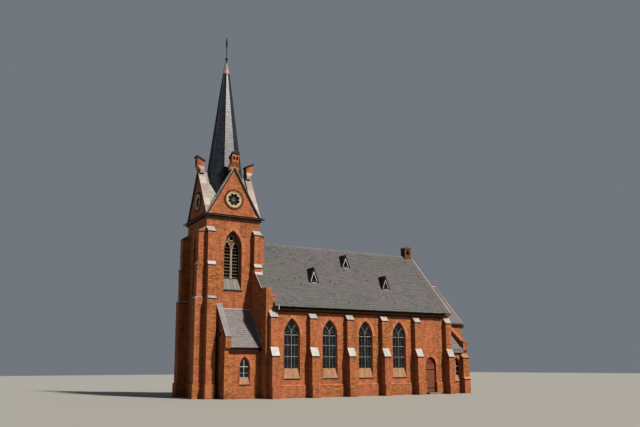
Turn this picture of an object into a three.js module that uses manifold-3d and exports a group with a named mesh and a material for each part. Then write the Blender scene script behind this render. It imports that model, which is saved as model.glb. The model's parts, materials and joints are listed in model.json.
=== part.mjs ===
// A brick church with a west tower and slated spire, a five-bay nave, two lean-to
// annexes beside the tower, a polygonal chancel and a small sacristy.
// Millimetres. +X runs east along the nave, +Y north, +Z up.
// The origin is on the ground, on the spire's axis.

import * as THREE from "three";
import { mergeVertices } from "three/addons/utils/BufferGeometryUtils.js";
import { ConvexGeometry } from "three/addons/geometries/ConvexGeometry.js";
import Module from "manifold-3d";

const wasm = await Module();
wasm.setup();

// Driving dimensions
const GAP = 0.3;
const MERGE_DISTANCE = 1e-3;
const ARC_STEPS = 5;
const FLOOR_TOP = 150;

// Tower
const TOWER_HALF = 2000;
const TOWER_WALL = 600;
const TOWER_INSIDE = TOWER_HALF - TOWER_WALL;
const TOWER_TOP = 12420;
const CORNICE_TOP = 12720;
const CORNICE_OVERHANG = 150;
const PIER_STAGES = [
  { reach: 700, top: 6710, slopeTop: 6850 },
  { reach: 500, top: 9040, slopeTop: 9280 },
  { reach: 400, top: 11400, slopeTop: 11750 },
];
const WEST_PIER_STAGES = [
  { reach: 720, top: 6710, slopeTop: 6850 },
  { reach: 620, top: 9040, slopeTop: 9280 },
  { reach: 550, top: 11400, slopeTop: 11750 },
];
const PIER_UPPER_WIDTH = 540;
const PIER_LOWER_START = -80;
const PIER_LOWER_END = 580;
const FOOT_REACH = 800;
const FOOT_TOP = 960;
const FOOT_SLOPE_TOP = 1100;
const FOOT_START = -140;

// Belfry windows
const BELFRY = { width: 1310, sill: 7370, spring: 10450, apex: 11650 };
const BELFRY_SILL_TOP = 8200;
const BELFRY_PLATE = { front: 400, back: 520 };
const BELFRY_SLATS = 7;

// Gables of the tower
const GABLE_PITCH = 1.775;
const GABLE_THICKNESS = 400;
const GABLE_APEX = CORNICE_TOP + TOWER_HALF * GABLE_PITCH;
const ROSE_HEIGHT = 13900;
const ROSE_RADIUS = 600;
const ROSE_RING_RADIUS = 730;
const PINNACLE = {
  foot: 16050, top: 17250, fall: 300, footHalf: 340, topHalf: 250, front: -2190, back: -1660,
};
const PINNACLE_CORBEL = { from: 16330, to: 16600 };

// Spire
const SPIRE_TIP = 25850;
const SPIRE_SLOPE = 0.13;
const SPIRE_SHELL = 150;
const SPIRE_TOP = 24140;
const CAP_TOP = 25100;
const ROD_TOP = 27200;

// Nave
const BAY = 3000;
const NAVE_HALF = 4570;
const NAVE_WALL = 550;
const NAVE_INSIDE = NAVE_HALF - NAVE_WALL;
const NAVE_WEST = 1400;
const NAVE_EAST = 17150;
const FIRST_BUTTRESS = 1880;
const WALL_TOP = 6060;
const EAVE_REACH = 4889;
const EAVE_HEIGHT = 6180;
const RIDGE_HEIGHT = 11340;
const ROOF_PITCH = (RIDGE_HEIGHT - EAVE_HEIGHT) / EAVE_REACH;
const ROOF_DEPTH = 300;
const ROOF_SEAT_GAP = 0.5;
const LEAF = 270;
const GLASS = 30;
const PLINTH = { reach: 80, top: 800, slopeTop: 880 };
const BUTTRESS_WIDTH = 537;
const BUTTRESS_STAGES = [
  { reach: 627, top: 2800, slopeTop: 3390 },
  { reach: 347, top: 5400, slopeTop: 5860 },
];
const NAVE_WINDOW = { width: 1213, sill: 1305, spring: 4290, apex: 5390 };
const NAVE_LIGHT = { width: 940, sill: 2000, spring: 4290, apex: 5180 };

// South door, in the fifth bay
const DOORWAY = { west: 14830, east: 15810, spring: 2262, apex: 2800 };
const DOOR_LEAF = { west: 14885, east: 15755, bottom: 158, top: 2252, front: -4420, back: -4370 };
const DOOR_CLEARANCE = 5;
const HINGE = { x: 15757.5, y: -4432, radius: 10, heights: [450, 1850], length: 60 };
const STEP_TOP = 140;
const STEP_REACH = 380;

// Annexes
const ANNEX_WEST = -1190;
const ANNEX_SOUTH = -3750;
const ANNEX_WALL = 400;
const ANNEX_EAVE = 3130;
const ANNEX_ROOF_TOP = 6020;
const LANCET = { width: 755, sill: 940, spring: 2150, apex: 2780 };
const LANCET_LIGHT = { width: 560, sill: 1200, spring: 2150, apex: 2620 };

// Chancel and sacristy
const CHANCEL_HALF = 2800;
const CHANCEL_WALL = 450;
const CHANCEL_BEND = 19900;
const CHANCEL_END = 21600;
const CHANCEL_END_HALF = 1150;
const CHANCEL_TOP = 5500;
const CHANCEL_RIDGE = 8900;
const SACRISTY_EAST = 18870;
const SACRISTY_ROOF_TOP = 5150;

// Materials
function finish(color, roughness, metalness = 0) {
  return new THREE.MeshStandardMaterial({ color, roughness, metalness });
}
const BRICK = finish(0xb5683c, 0.85);
const SLATE = finish(0x716b70, 0.55);
const DARK_SLATE = finish(0x23262f, 0.35);
const STONE = finish(0xd3c3a3, 0.8);
const LEAD = finish(0xa98f92, 0.45, 0.6);
const DARK_METAL = finish(0x25292b, 0.4, 0.8);
const GLAZING = finish(0x2d3638, 0.1);
const OAK = finish(0x70402c, 0.6);
const PAVING = finish(0x9a9388, 0.9);

// Solids from three.js shapes

// A closed geometry as a solid that can be joined and cut.
function solidFrom(geometry) {
  const bare = geometry.index ? geometry.toNonIndexed() : geometry.clone();
  bare.deleteAttribute("normal");
  bare.deleteAttribute("uv");
  const merged = mergeVertices(bare, MERGE_DISTANCE);
  const triangles = new Uint32Array(merged.index.array);
  const vertProperties = merged.attributes.position.array;
  const made = new wasm.Manifold(new wasm.Mesh({ numProp: 3, vertProperties, triVerts: triangles }));
  if (made.volume() > 0) {
    return made;
  }
  for (let i = 0; i < triangles.length; i += 3) {
    [triangles[i + 1], triangles[i + 2]] = [triangles[i + 2], triangles[i + 1]];
  }
  return new wasm.Manifold(new wasm.Mesh({ numProp: 3, vertProperties, triVerts: triangles }));
}

// A block between two opposite corners.
function block(x, y, z) {
  const geometry = new THREE.BoxGeometry(x[1] - x[0], y[1] - y[0], z[1] - z[0]);
  geometry.translate((x[0] + x[1]) / 2, (y[0] + y[1]) / 2, (z[0] + z[1]) / 2);
  return solidFrom(geometry);
}

// A flat outline drawn out along an axis. Along x the outline is (y, z), along y it is
// (x, z) and along z it is (x, y).
function prism(axis, outline, span, holes = []) {
  const shape = new THREE.Shape(outline.map(([u, v]) => new THREE.Vector2(u, v)));
  const depth = span[1] - span[0];
  const geometry = new THREE.ExtrudeGeometry(shape, { depth, bevelEnabled: false });
  const x = new THREE.Vector3(1, 0, 0);
  const y = new THREE.Vector3(0, 1, 0);
  const z = new THREE.Vector3(0, 0, 1);
  const frame = new THREE.Matrix4();
  if (axis === "x") {
    frame.makeBasis(y, z, x).setPosition(span[0], 0, 0);
  } else if (axis === "y") {
    frame.makeBasis(x, z, y.negate()).setPosition(0, span[1], 0);
  } else {
    frame.setPosition(0, 0, span[0]);
  }
  const through = [span[0] - 10, span[1] + 10];
  const whole = solidFrom(geometry.applyMatrix4(frame));
  return cut(whole, holes.map((hole) => prism(axis, hole, through)));
}

// The convex solid around a list of corners.
function hull(corners) {
  return solidFrom(new ConvexGeometry(corners.map(([x, y, z]) => new THREE.Vector3(x, y, z))));
}

// A profile of (radius, height) turned round the z axis, with flats facing the axes.
function turned(profile, sides, start = 0) {
  const points = profile.map(([radius, height]) => new THREE.Vector2(radius, height));
  const geometry = new THREE.LatheGeometry(points, sides, start);
  return solidFrom(geometry.rotateX(Math.PI / 2));
}

// A round bar along y with its middle at (x, z).
function roundBar(x, z, radius, span, sides = 24) {
  const geometry = new THREE.CylinderGeometry(radius, radius, span[1] - span[0], sides);
  return solidFrom(geometry.translate(x, (span[0] + span[1]) / 2, z));
}

function join(pieces) {
  return pieces.reduce((whole, piece) => whole.add(piece));
}

function cut(whole, pieces) {
  return pieces.reduce((rest, piece) => rest.subtract(piece), whole);
}

// The outline of a pointed window round the centre line u, as (u, z) points.
function pointedOutline(centre, opening, grow = 0) {
  const half = opening.width / 2 + grow;
  const rise = opening.apex - opening.spring + grow;
  const radius = (half * half + rise * rise) / (2 * half);
  const sweep = Math.asin(rise / radius);
  const points = [
    [centre - half, opening.sill - grow],
    [centre + half, opening.sill - grow],
  ];
  for (let i = 0; i <= ARC_STEPS; i += 1) {
    const angle = (sweep * i) / ARC_STEPS;
    const across = half - radius + radius * Math.cos(angle);
    points.push([centre + across, opening.spring + radius * Math.sin(angle)]);
  }
  for (let i = ARC_STEPS - 1; i >= 0; i -= 1) {
    const angle = (sweep * i) / ARC_STEPS;
    const across = half - radius + radius * Math.cos(angle);
    points.push([centre - across, opening.spring + radius * Math.sin(angle)]);
  }
  return points;
}

// A splayed window opening between two upright planes of constant y.
function splay(centre, outer, outerY, inner, innerY) {
  const corners = [];
  for (const [u, z] of pointedOutline(centre, outer)) {
    corners.push([u, outerY, z]);
  }
  for (const [u, z] of pointedOutline(centre, inner)) {
    corners.push([u, innerY, z]);
  }
  return hull(corners);
}

// The solid as a named mesh.
function named(name, solid, material) {
  const { vertProperties, triVerts } = solid.getMesh();
  const geometry = new THREE.BufferGeometry();
  geometry.setAttribute("position", new THREE.BufferAttribute(vertProperties, 3));
  geometry.setIndex(new THREE.BufferAttribute(triVerts, 1));
  geometry.computeVertexNormals();
  const mesh = new THREE.Mesh(geometry, material);
  mesh.name = name;
  return mesh;
}

const church = new THREE.Group();

// Adds one piece, turned by quarter turns round the spire's axis.
function addTurned(name, solid, material, quarterTurns = 0) {
  const mesh = named(name, solid, material);
  mesh.rotation.z = (quarterTurns * Math.PI) / 2;
  church.add(mesh);
}

// Adds a piece on the south side and its mirror image on the north side.
function addBothSides(makeName, solid, material) {
  church.add(named(makeName("south"), solid, material));
  const north = named(makeName("north"), solid, material);
  north.scale.y = -1;
  church.add(north);
}

// Tower

// The outline of a stepped buttress as (reach, height) points, from the wall plane out.
function steppedOutline(stages, inner, grow) {
  const points = [[-inner, 0]];
  stages.forEach((stage, i) => {
    const floor = i === 0 ? 0 : stages[i - 1].slopeTop + grow;
    points.push([stage.reach + grow, floor]);
    points.push([stage.reach + grow, stage.top + grow]);
  });
  points.push([grow, stages[stages.length - 1].slopeTop + grow]);
  points.push([-inner, stages[stages.length - 1].slopeTop + grow]);
  return points;
}

// One buttress facing south at the tower's south-west corner.
function cornerButtress(stages, grow) {
  const wall = -TOWER_HALF;
  const inner = TOWER_WALL / 2;
  const facing = (outline) => outline.map(([reach, z]) => [wall - reach, z]);
  const upper = prism("x", facing(steppedOutline(stages, inner, grow)),
    [wall - grow, wall + PIER_UPPER_WIDTH + grow]);
  const lower = prism("x", facing(steppedOutline(stages.slice(0, 1), inner, grow)),
    [wall + PIER_LOWER_START - grow, wall + PIER_LOWER_END + grow]);
  const footStage = [{ reach: FOOT_REACH, top: FOOT_TOP, slopeTop: FOOT_SLOPE_TOP }];
  const foot = prism("x", facing(steppedOutline(footStage, inner, grow)),
    [wall + FOOT_START - grow, wall + PIER_LOWER_END + grow]);
  return join([upper, lower, foot]);
}

// The solid with x and y exchanged.
function swapped(solid) {
  const { vertProperties, triVerts } = solid.getMesh();
  const geometry = new THREE.BufferGeometry();
  geometry.setAttribute("position", new THREE.BufferAttribute(vertProperties, 3));
  geometry.setIndex(new THREE.BufferAttribute(triVerts, 1));
  const exchange = new THREE.Matrix4().set(0, 1, 0, 0, 1, 0, 0, 0, 0, 0, 1, 0, 0, 0, 0, 1);
  return solidFrom(geometry.applyMatrix4(exchange));
}

// The south-west corner: a square pier with a buttress on its south face and on its west face.
function towerCorner(grow = 0, south = PIER_STAGES, west = PIER_STAGES) {
  const side = [-TOWER_HALF - grow, -TOWER_INSIDE + grow];
  const pier = block(side, side, [0, TOWER_TOP]);
  return join([pier, cornerButtress(south, grow), swapped(cornerButtress(west, grow))]);
}

// The solid turned by quarter turns round the spire's axis.
function quarterTurned(solid, quarterTurns) {
  const { vertProperties, triVerts } = solid.getMesh();
  const geometry = new THREE.BufferGeometry();
  geometry.setAttribute("position", new THREE.BufferAttribute(vertProperties, 3));
  geometry.setIndex(new THREE.BufferAttribute(triVerts, 1));
  return solidFrom(geometry.rotateZ((quarterTurns * Math.PI) / 2));
}

// The south wall between the corner piers, with its belfry window and any other opening.
function towerWall(openings, toGround = []) {
  const face = [
    [-TOWER_INSIDE, 0],
    [TOWER_INSIDE, 0],
    [TOWER_INSIDE, TOWER_TOP],
    [-TOWER_INSIDE, TOWER_TOP],
  ];
  const wall = prism("y", face, [-TOWER_HALF, -TOWER_INSIDE], [pointedOutline(0, BELFRY), ...openings]);
  const half = BELFRY.width / 2 + 5;
  const nosing = 60;
  const sillOutline = [
    [-TOWER_HALF + nosing, BELFRY.sill - 10],
    [-TOWER_HALF + nosing, BELFRY.sill + nosing],
    [-TOWER_HALF + BELFRY_PLATE.front, BELFRY_SILL_TOP],
    [-TOWER_INSIDE, BELFRY_SILL_TOP],
    [-TOWER_INSIDE, BELFRY.sill - 10],
  ];
  return cut(wall.add(prism("x", sillOutline, [-half, half])), toGround);
}

// The stone tracery and sloping louvres that close a belfry window.
function belfryTracery() {
  const front = -TOWER_HALF + BELFRY_PLATE.front;
  const back = -TOWER_HALF + BELFRY_PLATE.back;
  const edge = pointedOutline(0, { ...BELFRY, sill: BELFRY_SILL_TOP + GAP }, -GAP);
  const mullion = 130;
  const rim = 70;
  const lightWidth = (BELFRY.width - mullion) / 2 - rim;
  const lightCentre = (mullion + lightWidth) / 2;
  const light = { width: lightWidth, sill: BELFRY_SILL_TOP + 60, spring: 9900, apex: 10330 };
  const plate = prism("y", edge, [front, back], [
    pointedOutline(-lightCentre, light),
    pointedOutline(lightCentre, light),
  ]);
  const eye = roundBar(0, 10750, 210, [front - 50, back + 50], 12);
  const slats = [];
  const pitch = (light.apex - light.sill) / BELFRY_SLATS;
  for (let i = 0; i < BELFRY_SLATS; i += 1) {
    const z = light.sill + pitch * i;
    const section = [
      [front + 60, z],
      [front + 60, z + 40],
      [back + 60, z + 190],
      [back + 60, z + 150],
    ];
    slats.push(prism("x", section, [-BELFRY.width / 2 + rim, BELFRY.width / 2 - rim]));
  }
  return join([cut(plate, [eye]), ...slats]);
}

// The moulded square cornice with a waterspout on each corner.
function towerCornice() {
  const outer = TOWER_HALF + CORNICE_OVERHANG;
  const profile = [
    [TOWER_INSIDE, TOWER_TOP],
    [TOWER_HALF + 30, TOWER_TOP],
    [TOWER_HALF + 50, TOWER_TOP + 90],
    [outer - 20, TOWER_TOP + 150],
    [outer, TOWER_TOP + 180],
    [outer, CORNICE_TOP],
    [TOWER_INSIDE, CORNICE_TOP],
    [TOWER_INSIDE, TOWER_TOP],
  ].map(([across, z]) => [across * Math.SQRT2, z]);
  const ring = turned(profile, 4, Math.PI / 4);
  const spouts = [1, 3, 5, 7].map((eighth) => {
    const spout = new THREE.CylinderGeometry(45, 55, 300, 8);
    spout.rotateZ(-Math.PI / 2).translate(outer * Math.SQRT2 + 40, 0, CORNICE_TOP - 120);
    return solidFrom(spout.rotateZ((eighth * Math.PI) / 4));
  });
  return join([ring, ...spouts]);
}

// The south gable: brick wall with a rose, coping and a brick pinnacle on its point.
function towerGable() {
  const front = -TOWER_HALF;
  const back = -TOWER_HALF + GABLE_THICKNESS;
  const wall = prism("y", [
    [-TOWER_HALF, CORNICE_TOP],
    [TOWER_HALF, CORNICE_TOP],
    [0, GABLE_APEX],
  ], [front, back]);
  const copingRise = 120;
  const copingDrop = 110;
  const coping = prism("y", [
    [-TOWER_HALF, CORNICE_TOP + copingRise],
    [-TOWER_HALF, CORNICE_TOP],
    [-TOWER_HALF + copingDrop / 2, CORNICE_TOP],
    [0, GABLE_APEX - copingDrop],
    [TOWER_HALF - copingDrop / 2, CORNICE_TOP],
    [TOWER_HALF, CORNICE_TOP],
    [TOWER_HALF, CORNICE_TOP + copingRise],
    [0, GABLE_APEX + copingRise],
  ], [front - 70, back]);
  const round = roundBar(0, ROSE_HEIGHT, ROSE_RADIUS, [front - 100, back + 100], 20);
  const ring = roundBar(0, ROSE_HEIGHT, ROSE_RING_RADIUS, [front - 35, front + 100], 20);
  const plate = roundBar(0, ROSE_HEIGHT, ROSE_RADIUS + 20, [front + 110, front + 230], 20);
  const lobes = [0, 1, 2, 3].map((quarter) => {
    const angle = Math.PI / 4 + (quarter * Math.PI) / 2;
    const reach = 190;
    const x = reach * Math.cos(angle);
    const z = ROSE_HEIGHT + reach * Math.sin(angle);
    return roundBar(x, z, 200, [front, back], 10);
  });
  const { foot, top, footHalf, topHalf } = PINNACLE;
  const pinnacleFront = PINNACLE.front;
  const pinnacleBack = PINNACLE.back;
  const corbel = PINNACLE_CORBEL;
  const seenFromFront = prism("y", [
    [-footHalf, foot],
    [footHalf, foot],
    [footHalf, corbel.from],
    [topHalf, corbel.to],
    [topHalf, top],
    [-topHalf, top],
    [-topHalf, corbel.to],
    [-footHalf, corbel.from],
  ], [pinnacleFront, pinnacleBack]);
  const seenFromSide = prism("x", [
    [front, foot],
    [front, corbel.from],
    [pinnacleFront, corbel.to],
    [pinnacleFront, top],
    [pinnacleBack, top],
    [pinnacleBack, foot],
  ], [-footHalf, footHalf]);
  const shaft = seenFromFront.intersect(seenFromSide);
  const capReach = 40;
  const capDepth = 100;
  const capSection = [
    [pinnacleFront - capReach, top],
    [pinnacleBack + capReach, top - PINNACLE.fall],
    [pinnacleBack + capReach, top - PINNACLE.fall + capDepth],
    [pinnacleFront - capReach, top + capDepth],
  ];
  const cap = prism("x", capSection, [-topHalf - capReach, topHalf + capReach]);
  const aboveCap = prism("x", [
    [pinnacleFront - capReach, top + capDepth / 2],
    [pinnacleBack + capReach, top - PINNACLE.fall + capDepth / 2],
    [pinnacleBack + capReach, top + capDepth],
  ], [-footHalf, footHalf]);
  const niche = { width: 140, sill: top - 470, spring: top - 300, apex: top - 200 };
  const niches = [-1, 1].map((side) =>
    prism("y", pointedOutline(side * 115, niche), [pinnacleFront - 50, pinnacleFront + 120]));
  const brick = cut(join([wall, ring, coping]), [round]);
  const pinnacle = join([cut(shaft, [aboveCap]), cap]);
  const whole = join([brick, cut(plate, lobes), cut(pinnacle, niches)]);
  const reach = TOWER_HALF + 300;
  const sector = prism("z", [
    [0, -GAP],
    [-reach + GAP, -reach],
    [reach - GAP, -reach],
  ], [TOWER_TOP, PINNACLE.top + 500]);
  return whole.intersect(sector);
}

// Two crossing gable roofs over the tower, as (across, height) outlines.
function crossingRoof(lower, reach) {
  const base = CORNICE_TOP - 120 - lower;
  const outline = [
    [-TOWER_HALF, base],
    [TOWER_HALF, base],
    [0, base + TOWER_HALF * GABLE_PITCH],
  ];
  const span = [-reach, reach];
  return join([prism("x", outline, span), prism("y", outline, span)]);
}

// An eight-sided pyramid whose faces run parallel to the tower's sides and corners.
function spireBody(bottom, top, inset) {
  const start = Math.PI / 8;
  const radius = (z) => SPIRE_SLOPE * (SPIRE_TIP - z) - inset;
  return turned([
    [0, bottom],
    [radius(bottom), bottom],
    [radius(top), top],
    [0, top],
  ], 8, start);
}

function towerRoof() {
  const inside = TOWER_HALF - GABLE_THICKNESS;
  const slab = 245;
  const outer = crossingRoof(0, inside);
  const hollow = crossingRoof(slab, inside + 200);
  const above = block([-inside, inside], [-inside, inside], [CORNICE_TOP, GABLE_APEX + 500]);
  const shell = outer.subtract(hollow).intersect(above);
  const side = [-PINNACLE.footHalf - GAP, PINNACLE.footHalf + GAP];
  const notch = block(side, [PINNACLE.front, PINNACLE.back + GAP], [PINNACLE.foot - GAP, GABLE_APEX]);
  const notches = [0, 1, 2, 3].map((turn) => quarterTurned(notch, turn));
  return cut(shell, [...notches, spireBody(CORNICE_TOP - 200, SPIRE_TOP, -GAP)]);
}

function spire() {
  const hollowTop = SPIRE_TOP - 700;
  const outer = spireBody(CORNICE_TOP, SPIRE_TOP, 0);
  return outer.subtract(spireBody(CORNICE_TOP - 100, hollowTop, SPIRE_SHELL));
}

// The lead cap, its ball and the slender rod above it.
function spireFinial() {
  const start = Math.PI / 8;
  const cap = turned([
    [0, SPIRE_TOP],
    [SPIRE_SLOPE * (SPIRE_TIP - SPIRE_TOP), SPIRE_TOP],
    [235, SPIRE_TOP + 60],
    [95, CAP_TOP],
    [0, CAP_TOP],
  ], 8, start);
  const ball = new THREE.SphereGeometry(125, 10, 6);
  ball.rotateX(Math.PI / 2).translate(0, 0, CAP_TOP + 130);
  const spindleFoot = ROD_TOP - 1000;
  const rod = turned([
    [0, CAP_TOP - 100],
    [38, CAP_TOP - 100],
    [30, spindleFoot],
    [75, spindleFoot + 160],
    [60, ROD_TOP - 350],
    [15, ROD_TOP],
    [0, ROD_TOP],
  ], 10);
  return join([cap, solidFrom(ball), rod]);
}

const PORTAL = { width: 1500, sill: FLOOR_TOP, spring: 2300, apex: 3300 };
const PORTAL_INNER = { width: 1340, sill: FLOOR_TOP, spring: 2300, apex: 3200 };

// Closed double doors under a pointed head, standing in the west wall.
function westDoors() {
  const front = -TOWER_HALF + 300;
  const back = front + 70;
  const leafOutline = pointedOutline(0, PORTAL_INNER, -GAP);
  const boards = prism("y", leafOutline, [front, back]);
  const meeting = block([-25, 25], [front - 20, front + 10], [FLOOR_TOP + 40, PORTAL_INNER.apex - 80]);
  const straps = [700, 1800].map((z) =>
    block([-PORTAL_INNER.width / 2 + 30, PORTAL_INNER.width / 2 - 30], [front - 12, front + 10],
      [z, z + 70]));
  return join([boards, meeting, ...straps]);
}

function addTower() {
  const corners = ["south_west", "south_east", "north_east", "north_west"];
  const westOnSouthWest = towerCorner(0, PIER_STAGES, WEST_PIER_STAGES);
  const westOnNorthWest = towerCorner(0, WEST_PIER_STAGES, PIER_STAGES);
  const solids = [westOnSouthWest, towerCorner(), towerCorner(), westOnNorthWest];
  corners.forEach((corner, i) => addTurned(`tower_corner_${corner}`, solids[i], BRICK, i));
  const annexDoor = [[-450, FLOOR_TOP], [450, FLOOR_TOP], [450, 2200], [-450, 2200]];
  const arch = { width: 2000, sill: -10, spring: 3000, apex: 4600 };
  const archway = prism("y", pointedOutline(0, arch), [-TOWER_HALF - 10, -TOWER_INSIDE + 10]);
  const portalFront = prism("y", pointedOutline(0, PORTAL), [-TOWER_HALF - 100, -TOWER_HALF + 250]);
  const portalBack = prism("y", pointedOutline(0, PORTAL_INNER), [-TOWER_HALF + 240, -TOWER_INSIDE + 10]);
  const plinth = prism("x", [
    [-TOWER_HALF, 0],
    [-TOWER_HALF - PLINTH.reach, 0],
    [-TOWER_HALF - PLINTH.reach, FOOT_TOP],
    [-TOWER_HALF, FOOT_SLOPE_TOP],
    [-TOWER_HALF + 100, FOOT_SLOPE_TOP],
    [-TOWER_HALF + 100, 0],
  ], [-TOWER_INSIDE, TOWER_INSIDE]);
  const plinthClear = TOWER_HALF - PIER_LOWER_END;
  const westPlinth = plinth.intersect(
    block([-plinthClear, plinthClear], [-3000, 0], [0, TOWER_TOP]));
  const westWall = cut(towerWall([]).add(westPlinth), [portalFront, portalBack]);
  addTurned("tower_wall_south", towerWall([annexDoor]), BRICK);
  addTurned("tower_wall_east", towerWall([], [archway]), BRICK, 1);
  addTurned("tower_wall_north", towerWall([annexDoor]), BRICK, 2);
  addTurned("tower_wall_west", westWall, BRICK, 3);
  addTurned("west_doors", westDoors(), OAK, 3);
  ["south", "east", "north", "west"].forEach((side, i) => {
    addTurned(`belfry_tracery_${side}`, belfryTracery(), STONE, i);
    addTurned(`tower_gable_${side}`, towerGable(), BRICK, i);
  });
  addTurned("tower_cornice", towerCornice(), DARK_METAL);
  addTurned("tower_roof", towerRoof(), SLATE);
  addTurned("spire", spire(), DARK_SLATE);
  addTurned("spire_finial", spireFinial(), LEAD);
}

// Nave

const nearWestCorner = { west: NAVE_WEST, east: NAVE_WEST + NAVE_WALL };
const KNEELERS = [
  { x: [NAVE_WEST, 1790], top: 7400, back: -3850 },
  { x: [1790, 2160], top: 6920, back: -4200 },
];

// The kneeler stones that step up at the south-west corner of the nave's roof.
function kneelers(grow) {
  return join(KNEELERS.map(({ x, top, back }) =>
    block([x[0] - grow, x[1] + grow], [-NAVE_HALF - 20 - grow, back + grow], [WALL_TOP, top + grow])));
}

// The half gable between the nave's south wall and the tower.
function westWing() {
  const top = (y) => RIDGE_HEIGHT + y * ROOF_PITCH;
  const outline = [
    [-NAVE_HALF, 0],
    [-TOWER_HALF, 0],
    [-TOWER_HALF, top(-TOWER_HALF)],
    [-NAVE_HALF, top(-NAVE_HALF)],
  ];
  const wall = prism("x", outline, [nearWestCorner.west, nearWestCorner.east]);
  const step = kneelers(0).intersect(block([NAVE_WEST, 1790], [-6000, 0], [WALL_TOP, 9000]));
  const corner = quarterTurned(towerCorner(GAP), 1);
  return cut(join([wall, kneelers(0), step]), [corner]);
}

// Window middles of the first bays on each side.
function windowMiddles(count) {
  return Array.from({ length: count }, (_, i) => FIRST_BUTTRESS + BAY * (i + 0.5));
}

// The stone tracery of one nave window: two lights under a round eye.
function naveTracery(centre) {
  const front = -NAVE_HALF + 170;
  const back = -NAVE_HALF + LEAF;
  const mullion = 90;
  const rim = 60;
  const lightWidth = (NAVE_LIGHT.width - mullion) / 2 - rim;
  const offset = (mullion + lightWidth) / 2;
  const light = { width: lightWidth, sill: NAVE_LIGHT.sill + 60, spring: 3980, apex: 4390 };
  const edge = pointedOutline(centre, NAVE_LIGHT, 25);
  const plate = prism("y", edge, [front, back], [
    pointedOutline(centre - offset, light),
    pointedOutline(centre + offset, light),
  ]);
  return cut(plate, [roundBar(centre, 4640, 205, [front - 20, back + 20], 12)]);
}

// The height of the roof's underside at y on the south slope.
function undersideAt(y) {
  return RIDGE_HEIGHT - ROOF_DEPTH + y * ROOF_PITCH;
}

// A length of the nave's south wall whose top follows the underside of the roof.
function wallUnderRoof(from, to, outerY, innerY, bottom = 0) {
  return prism("x", [
    [outerY, bottom],
    [innerY, bottom],
    [innerY, undersideAt(innerY) - ROOF_SEAT_GAP],
    [outerY, undersideAt(outerY) - ROOF_SEAT_GAP],
  ], [from, to]);
}

// The outer leaf of a nave wall with its windows, and the corbelled course under the eave.
function naveOuterLeaf(from, to, windows) {
  const face = -NAVE_HALF;
  const leaf = wallUnderRoof(from, to, face, face + LEAF);
  const openings = windows.map((x) => splay(x, NAVE_WINDOW, face - 5, NAVE_LIGHT, face + LEAF + 5));
  const whole = join([cut(leaf, openings), ...windows.map(naveTracery), eaveCourse(from, to)]);
  return cut(whole, [kneelers(GAP)]);
}

// The corbelled brick course under the nave's eave.
function eaveCourse(from, to) {
  const face = -NAVE_HALF;
  const outline = [
    [face + 100, 5880],
    [face, 5880],
    [face - 60, 5880],
    [face - 60, 5960],
    [face - 120, 5960],
    [face - 120, undersideAt(face - 120) - ROOF_SEAT_GAP],
    [face + 100, undersideAt(face + 100) - ROOF_SEAT_GAP],
  ];
  return prism("x", outline, [from, to]);
}

// The inner leaf of a nave wall, its window openings widening towards the inside.
function naveInnerLeaf(from, to, windows) {
  const outerY = -NAVE_HALF + LEAF + GLASS;
  const wide = { ...NAVE_LIGHT, width: 1200, sill: 1800, apex: 5330 };
  const leaf = wallUnderRoof(from, to, outerY, -NAVE_INSIDE);
  const openings = windows.map((x) => splay(x, NAVE_LIGHT, outerY - 5, wide, -NAVE_INSIDE + 5));
  return cut(leaf, [...openings, kneelers(GAP)]);
}

// One sheet of glazing that closes all the windows of a wall, held between its leaves.
function naveGlazing(from, to) {
  const y = -NAVE_HALF + LEAF;
  return block([from, to], [y, y + GLASS], [NAVE_LIGHT.sill - 300, NAVE_LIGHT.apex + 300]);
}

// Buttresses that stand on one plinth course.
function buttressRow(middles, from, to) {
  const face = -NAVE_HALF;
  const plinth = prism("x", [
    [face, 0],
    [face - PLINTH.reach, 0],
    [face - PLINTH.reach, PLINTH.top],
    [face, PLINTH.slopeTop],
  ], [from, to]);
  const outline = steppedOutline(BUTTRESS_STAGES, 0, 0).map(([reach, z]) => [face - reach, z]);
  const foot = steppedOutline([{ ...PLINTH, reach: BUTTRESS_STAGES[0].reach + 60 }], 0, 0)
    .map(([reach, z]) => [face - reach, z]);
  const pieces = middles.flatMap((x) => {
    const span = [x - BUTTRESS_WIDTH / 2, x + BUTTRESS_WIDTH / 2];
    return [prism("x", outline, span), prism("x", foot, span)];
  });
  return join([plinth, ...pieces]);
}

const DORMERS = [
  { x: [5560, 6310], sill: 8230, apex: 9270 },
  { x: [9200, 9950], sill: 9770, apex: 10700 },
  { x: [11800, 12550], sill: 8030, apex: 9000 },
];

// One small triangular dormer on the south slope, with a dark opening.
function dormer({ x, sill, apex }) {
  const roofAt = (z) => -(RIDGE_HEIGHT - z) / ROOF_PITCH;
  const middle = (x[0] + x[1]) / 2;
  const front = roofAt(sill) - 40;
  const body = prism("y", [[x[0], sill], [x[1], sill], [middle, apex]], [front, roofAt(apex) + 300]);
  const inset = 130;
  const opening = prism("y", [
    [x[0] + inset, sill + 130],
    [x[1] - inset, sill + 130],
    [middle, apex - inset * 1.6],
  ], [front - 50, front + 160]);
  return { body, opening };
}

// The solid mirrored to the north side.
function mirrored(solid) {
  const { vertProperties, triVerts } = solid.getMesh();
  const geometry = new THREE.BufferGeometry();
  geometry.setAttribute("position", new THREE.BufferAttribute(vertProperties, 3));
  geometry.setIndex(new THREE.BufferAttribute(triVerts, 1));
  return solidFrom(geometry.scale(1, -1, 1));
}

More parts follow.
